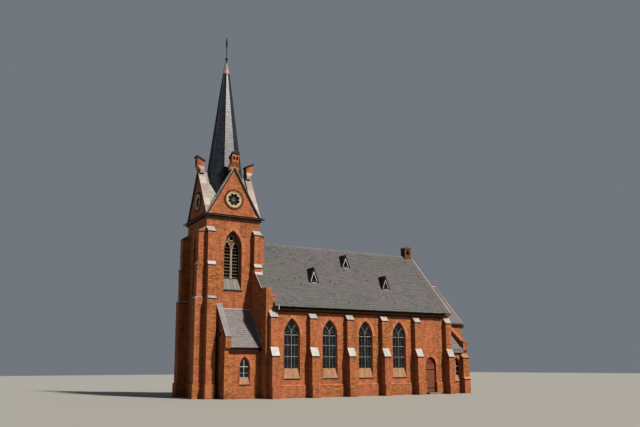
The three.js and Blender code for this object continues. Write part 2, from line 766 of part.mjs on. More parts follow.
// The nave's slated roof with six dormers, cut round the tower's corners.
function naveRoof() {
  const west = nearWestCorner.east;
  const east = NAVE_EAST - NAVE_WALL;
  const soffit = (WALL_TOP - RIDGE_HEIGHT + ROOF_DEPTH) / ROOF_PITCH;
  const underside = RIDGE_HEIGHT - ROOF_DEPTH;
  const span = [west, east];
  const body = prism("x", [
    [-EAVE_REACH, WALL_TOP],
    [EAVE_REACH, WALL_TOP],
    [EAVE_REACH, EAVE_HEIGHT],
    [0, RIDGE_HEIGHT],
    [-EAVE_REACH, EAVE_HEIGHT],
  ], span);
  const hollow = prism("x", [
    [soffit, WALL_TOP],
    [soffit, WALL_TOP - 10],
    [-soffit, WALL_TOP - 10],
    [-soffit, WALL_TOP],
    [0, underside],
  ], [west - 10, east + 10]);
  const dormers = DORMERS.map(dormer);
  const bodies = dormers.map((one) => one.body);
  const openings = dormers.map((one) => one.opening);
  const corner = towerCorner(GAP);
  return cut(join([body, ...bodies, ...bodies.map(mirrored)]), [
    hollow,
    ...openings,
    ...openings.map(mirrored),
    block([west - 10, TOWER_HALF], [-TOWER_HALF, TOWER_HALF], [WALL_TOP - 10, RIDGE_HEIGHT + 100]),
    quarterTurned(corner, 1),
    quarterTurned(corner, 2),
    kneelers(GAP),
    mirrored(kneelers(GAP)),
    gableBellcote(GAP),
  ]);
}

const BELLCOTE = { x: [16330, 16930], half: 260, top: 12010 };

// The brick bellcote on the east gable.
function gableBellcote(grow) {
  const { x, half, top } = BELLCOTE;
  const foot = RIDGE_HEIGHT - 310;
  const shaft = block([x[0] - grow, x[1] + grow], [-half - grow, half + grow], [foot - grow, top]);
  const cap = prism("y", [
    [x[0] - 50, top],
    [x[1] + 50, top],
    [x[1] + 50, top + 50],
    [(x[0] + x[1]) / 2, top + 180],
    [x[0] - 50, top + 50],
  ], [-half - 50, half + 50]);
  return grow ? shaft : join([shaft, cap]);
}

// The arch through the bellcote, which also clears the point of the gable.
function bellcoteArchway() {
  const arch = { width: 300, sill: 11480, spring: 11730, apex: 11900 };
  const centre = (BELLCOTE.x[0] + BELLCOTE.x[1]) / 2;
  const reach = BELLCOTE.half + 100;
  return prism("y", pointedOutline(centre, arch), [-reach, reach]);
}

// The east gable wall up to the verge of the roof, with its kneelers, the chancel arch and
// the bellcote.
function naveEastWall() {
  const verge = 30;
  const kneelerDrop = 180;
  const arch = { width: 3400, sill: -10, spring: 2700, apex: 5000 };
  const outline = [
    [-NAVE_HALF, 0],
    [NAVE_HALF, 0],
    [NAVE_HALF, WALL_TOP - kneelerDrop],
    [EAVE_REACH, WALL_TOP],
    [EAVE_REACH, EAVE_HEIGHT + verge],
    [0, RIDGE_HEIGHT + verge],
    [-EAVE_REACH, EAVE_HEIGHT + verge],
    [-EAVE_REACH, WALL_TOP],
    [-NAVE_HALF, WALL_TOP - kneelerDrop],
  ];
  const wall = prism("x", outline, [NAVE_EAST - NAVE_WALL, NAVE_EAST]);
  const archway = prism("x", pointedOutline(0, arch), [NAVE_EAST - NAVE_WALL - 10, NAVE_EAST + 10]);
  return cut(join([wall, gableBellcote(0)]), [archway, bellcoteArchway()]);
}

// The wall over the south doorway, from its arch to the eave.
function overDoor() {
  const centre = (DOORWAY.west + DOORWAY.east) / 2;
  const width = DOORWAY.east - DOORWAY.west;
  const arch = { width, sill: 0, spring: DOORWAY.spring, apex: DOORWAY.apex };
  const whole = wallUnderRoof(DOORWAY.west, DOORWAY.east, -NAVE_HALF, -NAVE_INSIDE, DOORWAY.spring);
  const archway = prism("y", pointedOutline(centre, arch), [-NAVE_HALF - 10, -NAVE_INSIDE + 10]);
  return join([cut(whole, [archway]), eaveCourse(DOORWAY.west, DOORWAY.east)]);
}

// A plain pier of wall beside the south doorway.
function besideDoor(from, to) {
  const pier = wallUnderRoof(from, to, -NAVE_HALF, -NAVE_INSIDE);
  return join([pier, eaveCourse(from, to)]);
}

// A short upright pin round the door's hinge axis.
function hingePin(from, to) {
  const pin = new THREE.CylinderGeometry(HINGE.radius, HINGE.radius, to - from, 10);
  return solidFrom(pin.rotateX(Math.PI / 2).translate(HINGE.x, HINGE.y, (from + to) / 2));
}

// The door frame: two jambs with stops behind the leaf, and a light pointed head.
function doorFrame() {
  const { west, east, spring, apex } = DOORWAY;
  const centre = (west + east) / 2;
  const head = { width: east - west, sill: spring, spring, apex };
  const depth = [DOOR_LEAF.front, DOOR_LEAF.back + 80];
  const stopDepth = [DOOR_LEAF.back + DOOR_CLEARANCE, DOOR_LEAF.back + 80];
  const jambs = [
    block([west, DOOR_LEAF.west - DOOR_CLEARANCE], depth, [STEP_TOP, spring + 20]),
    block([DOOR_LEAF.east + DOOR_CLEARANCE, east], depth, [STEP_TOP, spring + 20]),
    block([west, DOOR_LEAF.west + 30], stopDepth, [STEP_TOP, spring + 20]),
    block([DOOR_LEAF.east - 30, east], stopDepth, [STEP_TOP, spring + 20]),
    block([west, east], stopDepth, [DOOR_LEAF.top - 30, spring + 20]),
  ];
  const tympanum = prism("y", pointedOutline(centre, head), depth);
  const brackets = HINGE.heights.flatMap((z) => [
    hingePin(z - 40, z - GAP),
    block([HINGE.x, east - 10], [HINGE.y - 8, DOOR_LEAF.front + 10], [z - 40, z - GAP]),
  ]);
  const inside = prism("y", pointedOutline(centre, { ...head, sill: 0 }, -GAP),
    [-NAVE_HALF, -NAVE_INSIDE]);
  return join([...jambs, tympanum, ...brackets]).intersect(inside);
}

// The hinged leaf with its boards as one slab, two straps with knuckles that stand on the
// frame's brackets, and a round handle.
function doorLeaf() {
  const { west, east, bottom, top, front, back } = DOOR_LEAF;
  const leaf = block([west, east], [front, back], [bottom, top]);
  const straps = HINGE.heights.flatMap((z) => [
    block([west + 150, HINGE.x], [HINGE.y, front + 5], [z, z + HINGE.length]),
    hingePin(z, z + HINGE.length),
  ]);
  const handle = roundBar(west + 90, 1080, 28, [front - 60, front + 5], 12);
  return join([leaf, ...straps, handle]);
}

function addNave() {
  const from = nearWestCorner.east;
  const doorBay = FIRST_BUTTRESS + 4 * BAY;
  const to = NAVE_EAST - NAVE_WALL;
  const buttresses = Array.from({ length: 6 }, (_, i) => FIRST_BUTTRESS + i * BAY);
  church.add(named("nave_wall_south", naveOuterLeaf(from, doorBay, windowMiddles(4)), BRICK));
  church.add(named("nave_wall_south_inner_leaf", naveInnerLeaf(from, doorBay, windowMiddles(4)), BRICK));
  church.add(named("nave_glazing_south", naveGlazing(from, doorBay), GLAZING));
  const northPieces = [
    named("nave_wall_north", naveOuterLeaf(from, to, windowMiddles(5)), BRICK),
    named("nave_wall_north_inner_leaf", naveInnerLeaf(from, to, windowMiddles(5)), BRICK),
    named("nave_glazing_north", naveGlazing(from, to), GLAZING),
    named("nave_buttresses_north", buttressRow(buttresses, NAVE_WEST, NAVE_EAST), BRICK),
  ];
  for (const piece of northPieces) {
    piece.scale.y = -1;
    church.add(piece);
  }
  const westRow = buttressRow(buttresses.slice(0, 5), NAVE_WEST, DOORWAY.west);
  const eastRow = buttressRow(buttresses.slice(5), DOORWAY.east, NAVE_EAST);
  church.add(named("nave_buttresses_south", westRow, BRICK));
  church.add(named("nave_buttress_south_east", eastRow, BRICK));
  church.add(named("wall_west_of_south_door", besideDoor(doorBay, DOORWAY.west), BRICK));
  church.add(named("wall_east_of_south_door", besideDoor(DOORWAY.east, to), BRICK));
  church.add(named("wall_over_south_door", overDoor(), BRICK));
  addBothSides((side) => `nave_west_wing_${side}`, westWing(), BRICK);
  church.add(named("nave_wall_east", naveEastWall(), BRICK));
  church.add(named("nave_roof", naveRoof(), SLATE));
  church.add(named("south_door", doorLeaf(), OAK));
  church.add(named("south_door_frame", doorFrame(), STONE));
  const step = block([DOORWAY.west, DOORWAY.east], [-NAVE_HALF - STEP_REACH, -NAVE_INSIDE], [0, STEP_TOP]);
  church.add(named("south_door_step", step, PAVING));
}

// Lean-to rooms

// A pointed window cut through a south wall of a lean-to, with a rebate for its pane.
function lancetCut(centre, faceY, wall) {
  const shoulder = faceY + wall / 2;
  const rebate = prism("y", pointedOutline(centre, LANCET_LIGHT, 30), [shoulder, faceY + wall + 10]);
  return join([splay(centre, LANCET, faceY - 5, LANCET_LIGHT, shoulder + 5), rebate]);
}

function lancetPane(centre, faceY, wall) {
  const shoulder = faceY + wall / 2;
  return prism("y", pointedOutline(centre, LANCET_LIGHT, 30 - GAP), [shoulder, shoulder + GLASS]);
}

// The section of a lean-to roof, from its eave up to the wall it leans on.
function leanToSection(face, high, highZ, wall) {
  const eave = face - 180;
  const fascia = ANNEX_EAVE + 270;
  const pitch = (highZ - fascia) / (high - eave);
  const slab = 300;
  const inner = face + wall;
  return [
    [eave, ANNEX_EAVE],
    [inner, ANNEX_EAVE],
    [inner, fascia + (inner - eave) * pitch - slab],
    [high, highZ - slab],
    [high, highZ],
    [eave, fascia],
  ];
}

// The parapet wall at the end of a lean-to, with its kneeler at the eave.
function parapetOutline(face, high, highZ) {
  const kneelerTop = 4070;
  return [
    [high, 0],
    [face, 0],
    [face, 3150],
    [face - 180, 3330],
    [face - 180, kneelerTop],
    [face + 60, kneelerTop],
    [high, highZ],
  ];
}

function addAnnexes() {
  const middle = 265;
  const inner = ANNEX_WEST + ANNEX_WALL;
  const westOutline = parapetOutline(ANNEX_SOUTH, -TOWER_HALF, 6440);
  const vent = new THREE.CylinderGeometry(130, 130, ANNEX_WALL + 20, 16);
  vent.rotateZ(Math.PI / 2).translate(ANNEX_WEST + ANNEX_WALL / 2, -2900, 4250);
  const westWall = cut(prism("x", westOutline, [ANNEX_WEST, inner]), [solidFrom(vent)]);
  const face = [ANNEX_SOUTH, ANNEX_SOUTH + ANNEX_WALL];
  const southWall = cut(block([inner, NAVE_WEST], face, [0, ANNEX_EAVE]),
    [lancetCut(middle, ANNEX_SOUTH, ANNEX_WALL)]);
  const section = leanToSection(ANNEX_SOUTH, -TOWER_HALF, ANNEX_ROOF_TOP, ANNEX_WALL);
  const floor = block([inner, NAVE_WEST], [face[1], -TOWER_HALF], [0, FLOOR_TOP]);
  addBothSides((side) => `annex_west_wall_${side}`, westWall, BRICK);
  addBothSides((side) => `annex_wall_${side}`, southWall, BRICK);
  addBothSides((side) => `annex_roof_${side}`, prism("x", section, [inner, NAVE_WEST]), SLATE);
  addBothSides((side) => `annex_window_${side}`, lancetPane(middle, ANNEX_SOUTH, ANNEX_WALL), GLAZING);
  addBothSides((side) => `annex_floor_${side}`, floor, PAVING);
}

// Chancel and sacristy

// The chancel's outline in plan, drawn in from its outer faces.
function chancelOutline(inset, west = NAVE_EAST) {
  const slant = Math.SQRT2 - 1;
  const half = CHANCEL_HALF - inset;
  const end = CHANCEL_END - inset;
  const bend = CHANCEL_BEND - inset * slant;
  const endHalf = CHANCEL_END_HALF - inset * slant;
  return [
    [west, -half],
    [bend, -half],
    [end, -endHalf],
    [end, endHalf],
    [bend, half],
    [west, half],
  ];
}

const CHANCEL_WINDOW = { width: 800, sill: 1500, spring: 3500, apex: 4250 };

// Window cutters on the chancel's five outer faces.
function chancelWindows() {
  const sideX = (SACRISTY_EAST + CHANCEL_BEND) / 2;
  const slantX = (CHANCEL_BEND + CHANCEL_END) / 2;
  const slantY = (CHANCEL_HALF + CHANCEL_END_HALF) / 2;
  const slantAngle = Math.atan2(CHANCEL_END - CHANCEL_BEND, CHANCEL_HALF - CHANCEL_END_HALF);
  const places = [
    { x: sideX, y: CHANCEL_HALF, angle: 0 },
    { x: slantX, y: slantY, angle: -slantAngle },
    { x: CHANCEL_END, y: 0, angle: -Math.PI / 2 },
    { x: slantX, y: -slantY, angle: slantAngle - Math.PI },
    { x: sideX, y: -CHANCEL_HALF, angle: Math.PI },
  ];
  return places.map(({ x, y, angle }) => {
    const { vertProperties, triVerts } = prism("y", pointedOutline(0, CHANCEL_WINDOW), [-700, 200]).getMesh();
    const geometry = new THREE.BufferGeometry();
    geometry.setAttribute("position", new THREE.BufferAttribute(vertProperties, 3));
    geometry.setIndex(new THREE.BufferAttribute(triVerts, 1));
    return solidFrom(geometry.rotateZ(angle).translate(x, y, 0));
  });
}

function chancelRoof() {
  const eave = chancelOutline(-200);
  const inner = chancelOutline(CHANCEL_WALL, NAVE_EAST - 10);
  const fascia = CHANCEL_TOP + 120;
  const outer = hull([
    ...eave.map(([x, y]) => [x, y, CHANCEL_TOP]),
    ...eave.map(([x, y]) => [x, y, fascia]),
    [NAVE_EAST, 0, CHANCEL_RIDGE],
    [CHANCEL_BEND - 200, 0, CHANCEL_RIDGE],
  ]);
  const hollow = hull([
    ...inner.map(([x, y]) => [x, y, CHANCEL_TOP - 10]),
    ...inner.map(([x, y]) => [x, y, fascia + 100]),
    [NAVE_EAST - 10, 0, CHANCEL_RIDGE - 420],
    [CHANCEL_BEND - 350, 0, CHANCEL_RIDGE - 420],
  ]);
  return outer.subtract(hollow);
}

function addChancel() {
  const vestryDoor = block([17550, 18350], [-CHANCEL_HALF - 10, -CHANCEL_HALF + 600], [FLOOR_TOP, 2200]);
  const walls = prism("z", chancelOutline(0), [0, CHANCEL_TOP])
    .subtract(prism("z", chancelOutline(CHANCEL_WALL, NAVE_EAST - 10), [-10, CHANCEL_TOP + 10]));
  church.add(named("chancel_walls", cut(walls, [...chancelWindows(), vestryDoor]), BRICK));
  const sheetOut = prism("z", chancelOutline(CHANCEL_WALL + GAP, 18480), [1300, 4500]);
  const sheetIn = prism("z", chancelOutline(CHANCEL_WALL + GLASS, 18400), [1200, 4600]);
  church.add(named("chancel_glazing", sheetOut.subtract(sheetIn), GLAZING));
  church.add(named("chancel_roof", chancelRoof(), SLATE));
}

function addSacristy() {
  const east = SACRISTY_EAST;
  const inner = east - ANNEX_WALL;
  const south = -NAVE_HALF;
  const north = -CHANCEL_HALF;
  const middle = 17880;
  const southWall = cut(block([NAVE_EAST, inner], [south, south + ANNEX_WALL], [0, ANNEX_EAVE]),
    [lancetCut(middle, south, ANNEX_WALL)]);
  const eastWall = prism("x", parapetOutline(south, north, SACRISTY_ROOF_TOP + 300), [inner, east]);
  const buttress = prism("x", steppedOutline([
    { reach: 430, top: 1100, slopeTop: 1240 },
    { reach: 330, top: 2750, slopeTop: 3040 },
  ], 100, 0).map(([reach, z]) => [south - reach, z]), [east - 590, east]);
  church.add(named("sacristy_walls", join([southWall, eastWall, buttress]), BRICK));
  church.add(named("sacristy_window", lancetPane(middle, south, ANNEX_WALL), GLAZING));
  const section = leanToSection(south, north, SACRISTY_ROOF_TOP, ANNEX_WALL);
  church.add(named("sacristy_roof", prism("x", section, [NAVE_EAST, inner]), SLATE));
  const floor = block([NAVE_EAST, inner], [south + ANNEX_WALL, north], [0, FLOOR_TOP]);
  church.add(named("sacristy_floor", floor, PAVING));
}

// The floor of the tower, nave and chancel, one slab that runs under both arches.
function addFloor() {
  const corner = towerCorner(GAP);
  const tall = [0, FLOOR_TOP];
  const tower = block([-TOWER_INSIDE, TOWER_INSIDE], [-TOWER_INSIDE, TOWER_INSIDE], tall);
  const towerArch = block([TOWER_INSIDE, TOWER_HALF], [-1000, 1000], tall);
  const nave = cut(block([TOWER_HALF, NAVE_EAST - NAVE_WALL], [-NAVE_INSIDE, NAVE_INSIDE], tall),
    [quarterTurned(corner, 1), quarterTurned(corner, 2)]);
  const chancelArch = block([NAVE_EAST - NAVE_WALL, NAVE_EAST], [-1700, 1700], tall);
  const chancel = prism("z", chancelOutline(CHANCEL_WALL + GAP), tall);
  church.add(named("church_floor", join([tower, towerArch, nave, chancelArch, chancel]), PAVING));
}

addTower();
addNave();
addAnnexes();
addChancel();
addSacristy();
addFloor();

export default church;
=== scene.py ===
"""Looks for a brick church with a west tower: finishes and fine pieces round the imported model.

All sizes are in metres. +X runs east along the nave, +Y north and +Z up, and the
origin is on the ground under the spire.
"""
import json
import logging
import math
import random
from collections.abc import Callable, Iterable, Sequence
from dataclasses import dataclass
from enum import Enum

import bmesh
import bpy
from mathutils import Matrix, Vector
from mathutils.geometry import tessellate_polygon

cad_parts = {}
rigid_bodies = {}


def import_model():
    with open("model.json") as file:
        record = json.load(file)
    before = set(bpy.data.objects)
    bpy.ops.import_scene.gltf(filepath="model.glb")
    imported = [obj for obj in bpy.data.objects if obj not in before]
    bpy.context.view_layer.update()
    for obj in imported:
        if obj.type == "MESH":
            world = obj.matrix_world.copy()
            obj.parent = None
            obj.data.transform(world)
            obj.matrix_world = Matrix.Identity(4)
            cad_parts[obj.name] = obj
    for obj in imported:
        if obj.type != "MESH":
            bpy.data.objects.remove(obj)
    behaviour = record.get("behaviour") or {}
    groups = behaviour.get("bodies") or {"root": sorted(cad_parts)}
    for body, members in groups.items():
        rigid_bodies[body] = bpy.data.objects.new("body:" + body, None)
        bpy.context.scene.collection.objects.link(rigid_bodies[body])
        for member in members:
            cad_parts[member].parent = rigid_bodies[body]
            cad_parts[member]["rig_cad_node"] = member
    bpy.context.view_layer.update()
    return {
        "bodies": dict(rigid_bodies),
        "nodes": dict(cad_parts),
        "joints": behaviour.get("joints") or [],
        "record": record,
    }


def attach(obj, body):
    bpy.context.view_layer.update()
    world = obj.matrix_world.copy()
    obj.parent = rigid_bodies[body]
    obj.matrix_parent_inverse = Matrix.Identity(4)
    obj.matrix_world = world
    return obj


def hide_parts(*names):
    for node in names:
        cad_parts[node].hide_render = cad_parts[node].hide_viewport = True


LOG = logging.getLogger("church")
IMAGE_WIDTH = 640
IMAGE_HEIGHT = 427
ARC_STEPS = 10
SIDES = (-1, 1)

Span = tuple[float, float]
Outline = list[Span]
Stages = tuple[tuple[float, float, float], ...]
Keep = Callable[[Vector], bool]


class Side(Enum):
    """The four sides of the tower, as quarter turns from the south side."""

    SOUTH = 0
    EAST = 1
    NORTH = 2
    WEST = 3

    def turn(self) -> Matrix:
        """Gives the turn that carries a south-side shape to this side."""
        return Matrix.Rotation(math.radians(90 * self.value), 4, "Z")


class Axis(Enum):
    """The axis along which an outline is drawn out."""

    X = "x"
    Y = "y"
    Z = "z"

    def point(self, u: float, v: float, depth: float) -> Vector:
        """Places an outline's corner u, v at a depth along the axis."""
        order = {Axis.X: (depth, u, v), Axis.Y: (u, depth, v), Axis.Z: (u, v, depth)}
        return Vector(order[self])


def about(middle: float, reach: float) -> Span:
    """Gives the span that reaches equally far to both sides of a middle."""
    return (middle - reach, middle + reach)


def widened(span: Span, reach: float) -> Span:
    """Gives a span made longer by a reach at both ends."""
    return (span[0] - reach, span[1] + reach)


def polar(angle: float, radius: float, u: float = 0.0, v: float = 0.0) -> Span:
    """Gives the point at an angle and a distance from the middle u, v."""
    return (u + radius * math.cos(angle), v + radius * math.sin(angle))


class Shape:
    """Corners and faces of one piece, gathered from closed solids."""

    def __init__(self) -> None:
        """Starts with nothing."""
        self.points: list[Vector] = []
        self.faces: list[tuple[int, ...]] = []

    def add(self, points: Iterable[Sequence[float]], faces: Iterable[Sequence[int]]) -> "Shape":
        """Adds corners and faces.

        Args:
            points: The new corners.
            faces: The new faces, counted from the first new corner.

        Returns:
            This shape.
        """
        start = len(self.points)
        self.points.extend(Vector(point) for point in points)
        self.faces.extend(tuple(start + i for i in face) for face in faces)
        return self

    def loft(self, first: Sequence[Sequence[float]], last: Sequence[Sequence[float]]) -> "Shape":
        """Adds the closed solid between two outlines with as many corners.

        Args:
            first: Corners of one end, in order.
            last: Corners of the other end, in the same order.

        Returns:
            This shape.
        """
        count = len(first)
        sides = [(i, (i + 1) % count, count + (i + 1) % count, count + i) for i in range(count)]
        ends = [tuple(reversed(range(count))), tuple(range(count, 2 * count))]
        return self.add([*first, *last], [*ends, *sides])

    def prism(self, axis: Axis, outline: Outline, span: Span) -> "Shape":
        """Adds an outline drawn out along an axis, from the start to the end of a span."""
        return self.loft(*([axis.point(u, v, depth) for u, v in outline] for depth in span))

    def block(self, x: Span, y: Span, z: Span) -> "Shape":
        """Adds a block between two values on each axis."""
        return self.prism(Axis.Z, [(x[0], y[0]), (x[1], y[0]), (x[1], y[1]), (x[0], y[1])], z)

    def plate(self, axis: Axis, outer: Outline, holes: Sequence[Outline], span: Span) -> "Shape":
        """Adds a flat plate with holes through it.

        Args:
            axis: The axis across the plate.
            outer: The plate's edge.
            holes: The edge of each hole.
            span: Where the plate starts and ends on the axis.

        Returns:
            This shape.
        """
        loops = [outer, *holes]
        flat = [corner for loop in loops for corner in loop]
        triangles = tessellate_polygon([[Vector((u, v, 0)) for u, v in loop] for loop in loops])
        count = len(flat)
        faces = [tuple(t) for t in triangles]
        faces += [tuple(count + i for i in reversed(t)) for t in triangles]
        start = 0
        for loop in loops:
            size = len(loop)
            for i in range(size):
                a, b = start + i, start + (i + 1) % size
                faces.append((a, b, count + b, count + a))
            start += size
        return self.add([axis.point(u, v, depth) for depth in span for u, v in flat], faces)

    def rings(self, points: Sequence[Vector], sides: int) -> "Shape":
        """Adds the closed solid through rings of corners.

        Args:
            points: The corners, ring after ring.
            sides: Number of corners in each ring.

        Returns:
            This shape.
        """
        last = len(points) - sides
        faces: list[tuple[int, ...]] = [tuple(range(sides)), tuple(reversed(range(last, len(points))))]
        for row in range(0, last, sides):
            for k in range(sides):
                a, b = row + k, row + (k + 1) % sides
                faces.append((a, b, b + sides, a + sides))
        return self.add(points, faces)

    def tube(self, path: Sequence[Sequence[float]], radius: float, sides: int = 6) -> "Shape":
        """Adds a round bar along a path.

        Args:
            path: Points along its middle.
            radius: Its radius.
            sides: Number of flats round it.

        Returns:
            This shape.
        """
        line = [Vector(point) for point in path]
        points = []
        for i, point in enumerate(line):
            ahead = (line[min(i + 1, len(line) - 1)] - line[max(i - 1, 0)]).normalized()
            across = ahead.cross(Vector((0.31, 0.17, 0.94))).normalized()
            other = ahead.cross(across)
            for k in range(sides):
                angle = 2 * math.pi * k / sides
                points.append(point + radius * (across * math.cos(angle) + other * math.sin(angle)))
        return self.rings(points, sides)

    def rim(self, outline: Outline, depth: float, radius: float) -> "Shape":
        """Adds a round bar along the edge of an outline that faces south, at a depth."""
        return self.tube([(u, depth, v) for u, v in [*outline, outline[0]]], radius)

    def turned(self, profile: Outline, centre: Sequence[float], sides: int = 16, start: float = 0.0) -> "Shape":
        """Adds a solid turned about an upright line.

        Args:
            profile: Radius and height of each ring, from the bottom up.
            centre: Point that the heights are measured from.
            sides: Number of flats round it.
            start: Angle of the first corner.

        Returns:
            This shape.
        """
        base = Vector(centre)
        angles = [start + 2 * math.pi * k / sides for k in range(sides)]
        points = [base + Vector((*polar(angle, radius), height)) for radius, height in profile for angle in angles]
        return self.rings(points, sides)

    def join(self, *others: "Shape") -> "Shape":
        """Adds the solids of other shapes.

        Args:
            others: The shapes to take in.

        Returns:
            This shape.
        """
        for other in others:
            self.add(other.points, other.faces)
        return self

    def placed(self, matrix: Matrix) -> "Shape":
        """Gives a copy that is moved by a matrix."""
        return Shape().add([matrix @ point for point in self.points], self.faces)

    def mirrored(self) -> "Shape":
        """Gives a copy on the other side of the nave's middle line."""
        return Shape().add([(p.x, -p.y, p.z) for p in self.points], self.faces)

    def both_sides(self) -> "Shape":
        """Adds this shape's mirror image to itself."""
        return self.join(self.mirrored())

    def each_side(self) -> "Shape":
        """Gives the shape repeated on the tower's four sides."""
        return Shape().join(*(self.placed(side.turn()) for side in Side))


def pointed_outline(centre: float, width: float, sill: float, spring: float, apex: float,
                    steps: int = ARC_STEPS) -> Outline:
    """Draws a window or doorway with a pointed head.

    Args:
        centre: Its middle.
        width: Its full width.
        sill: Height of its foot.
        spring: Height where the arcs start.
        apex: Height of its point.
        steps: Number of straight pieces in each arc.

    Returns:
        Its corners, from the left of the sill over the head to the right.
    """
    half = width / 2
    rise = apex - spring
    offset = (rise * rise - half * half) / width
    last = math.atan2(rise, -offset)
    arc = [polar(math.pi + (last - math.pi) * i / steps, offset + half, offset, spring) for i in range(steps + 1)]
    left = [(-half, sill), *arc]
    right = [(-u, v) for u, v in reversed(left[:-1])]
    return [(centre + u, v) for u, v in [*left, *right]]


def circle_outline(u: float, v: float, radius: float, steps: int = 24) -> Outline:
    """Draws a circle about the middle u, v, with that many corners."""
    return [polar(2 * math.pi * i / steps, radius, u, v) for i in range(steps)]


def ring_outline(v: float, steps: int, reach: Callable[[float], float]) -> Outline:
    """Draws a closed curve about a middle at a height v, as far out as reach says for each angle."""
    angles = [2 * math.pi * i / steps for i in range(steps)]
    return [polar(angle, reach(angle), 0, v) for angle in angles]


def half_round(y: float, z: float, outer: float, inner: float) -> Outline:
    """Draws the section of a half-round gutter about y, z, from its outer and its inner radius."""
    turns = [math.pi * i / 8 for i in range(9)]
    return [polar(math.pi + t, outer, y, z) for t in turns] + [polar(2 * math.pi - t, inner, y, z) for t in turns]


@dataclass
class ArchRing:
    """Bricks or stones on end round a pointed head."""

    centre: float
    width: float
    spring: float
    apex: float
    face: float
    rise: float = 0.23
    pitch: float = 0.085
    joint: float = 0.008
    proud: float = 0.006
    depth: float = 0.05
    lip: float = 0.004

    def build(self) -> Shape:
        """Lays the ring's wedges on a south face.

        Returns:
            The wedges of both arcs.
        """
        half = self.width / 2 - self.lip
        rise = self.apex - self.lip - self.spring
        offset = (rise * rise - half * half) / (2 * half)
        inner = offset + half
        outer = inner + self.rise
        ends = [math.atan2(math.sqrt(max(r * r - offset * offset, 0)), -offset) for r in (inner, outer)]
        count = max(3, round(inner * (math.pi - ends[0]) / self.pitch))
        gap = self.joint / inner / 2
        span = (self.face - self.proud, self.face + self.depth)
        shape = Shape()
        for i in range(count):
            wedge = []
            for radius, end in ((inner, ends[0]), (outer, ends[1])):
                swing = (end - math.pi) / count
                pair = [math.pi + swing * i - gap, math.pi + swing * (i + 1) + gap]
                pair = pair if radius == inner else pair[::-1]
                wedge += [(offset + radius * math.cos(a), self.spring + radius * math.sin(a)) for a in pair]
            for mirror in (1, -1):
                shape.prism(Axis.Y, [(self.centre + mirror * u, v) for u, v in wedge], span)
        return shape


@dataclass
class BrickSill:
    """A steep sill of bricks on end under a window, with a dark drip below, part tile and part painted shadow of
    the sill's edge.
    """

    centre: float
    width: float
    top_width: float
    low: Span
    high: Span
    pitch: float = 0.078
    joint: float = 0.008
    thickness: float = 0.05

    def build(self) -> Shape:
        """Lays the sill's bricks on a south face.

        Returns:
            The bricks, each from the outer edge up to the glass.
        """
        count = round(self.width / self.pitch)
        shape = Shape()
        run = Vector((0, self.high[0] - self.low[0], self.high[1] - self.low[1]))
        inward = Vector((0, run.z, -run.y)).normalized() * self.thickness
        for i in range(count):
            low = [(i + e) / count - 0.5 for e in (0, 1)]
            cut = self.joint / self.width / 2
            low = [low[0] + cut, low[1] - cut]
            foot = [Vector((self.centre + self.width * e, *self.low)) for e in low]
            head = [Vector((self.centre + self.top_width * e, *self.high)) for e in low]
            face = [foot[0], foot[1], head[1], head[0]]
            shape.loft(face, [corner + inward for corner in face])
        return shape

    def drip(self, depth: float = 0.045) -> Shape:
        """Makes the thin dark strip under the sill: part tile, part painted shadow of the sill's edge.

        Args:
            depth: Its height.

        Returns:
            The tile, a little wider than the sill.
        """
        reach = self.width / 2 + 0.03
        y, z = self.low
        return Shape().block(about(self.centre, reach), (y - 0.028, y + 0.03), (z - depth, z - 0.003))


@dataclass
class SlateField:
    """Courses of slates on one flat slope."""

    corners: Sequence[Sequence[float]]
    along: Sequence[float]
    width: float = 0.30
    gauge: float = 0.20
    tail: float = 0.016
    head: float = 0.003
    joint: float = 0.006
    seed: int = 1

    def build(self, keep: Keep | None = None) -> Shape:
        """Lays slates in courses from the eave up, clipped to the slope.

        Args:
            keep: Says of a slate's middle whether the slate is laid. All are where it is left out.

        Returns:
            The slates.
        """
        points = [Vector(corner) for corner in self.corners]
        along = Vector(self.along).normalized()
        normal = (points[1] - points[0]).cross(points[2] - points[0]).normalized()
        normal = normal if normal.z > 0 else -normal
        rise = normal.cross(along).normalized()
        if rise.z < 0:
            rise = -rise
        origin = points[0]
        flat = [((p - origin).dot(along), (p - origin).dot(rise)) for p in points]
        low = min(v for _, v in flat)
        top = max(v for _, v in flat)
        left = min(u for u, _ in flat)
        rng = random.Random(self.seed)
        rows = max(1, round((top - low) / self.gauge))
        step = (top - low) / rows
        shape = Shape()
        for row in range(rows):
            tail_v = low + step * row + 1e-4
            head_v = low + step * (row + 1) - 1e-4
            tail_range = span_at(flat, tail_v)
            head_range = span_at(flat, head_v)
            if tail_range is None or head_range is None:
                continue
            start = left - self.width + self.width / 2 * (row % 2)
            end = max(tail_range[1], head_range[1])
            for i in range(int((end - start) / self.width) + 2):
                edges = (start + self.width * i + self.joint / 2, start + self.width * (i + 1) - self.joint / 2)
                foot = [min(max(e, tail_range[0]), tail_range[1]) for e in edges]
                crown = [min(max(e, head_range[0]), head_range[1]) for e in edges]
                if foot[1] - foot[0] < 0.02 and crown[1] - crown[0] < 0.02:
                    continue
                centre = origin + along * (foot[0] + foot[1]) / 2 + rise * (tail_v + head_v) / 2
                drop = rng.uniform(-0.006, 0.006)
                lift = self.tail * rng.uniform(0.8, 1.25)
                if keep is not None and not keep(centre):
                    continue
                quad = [
                    (foot[0], tail_v + drop, lift), (foot[1], tail_v + drop, lift),
                    (crown[1], head_v + 0.01, self.head), (crown[0], head_v + 0.01, self.head),
                ]
                upper = [origin + along * u + rise * v + normal * w for u, v, w in quad]
                under = [origin + along * u + rise * v - normal * 0.004 for u, v, _ in quad]
                shape.loft(upper, under)
        return shape


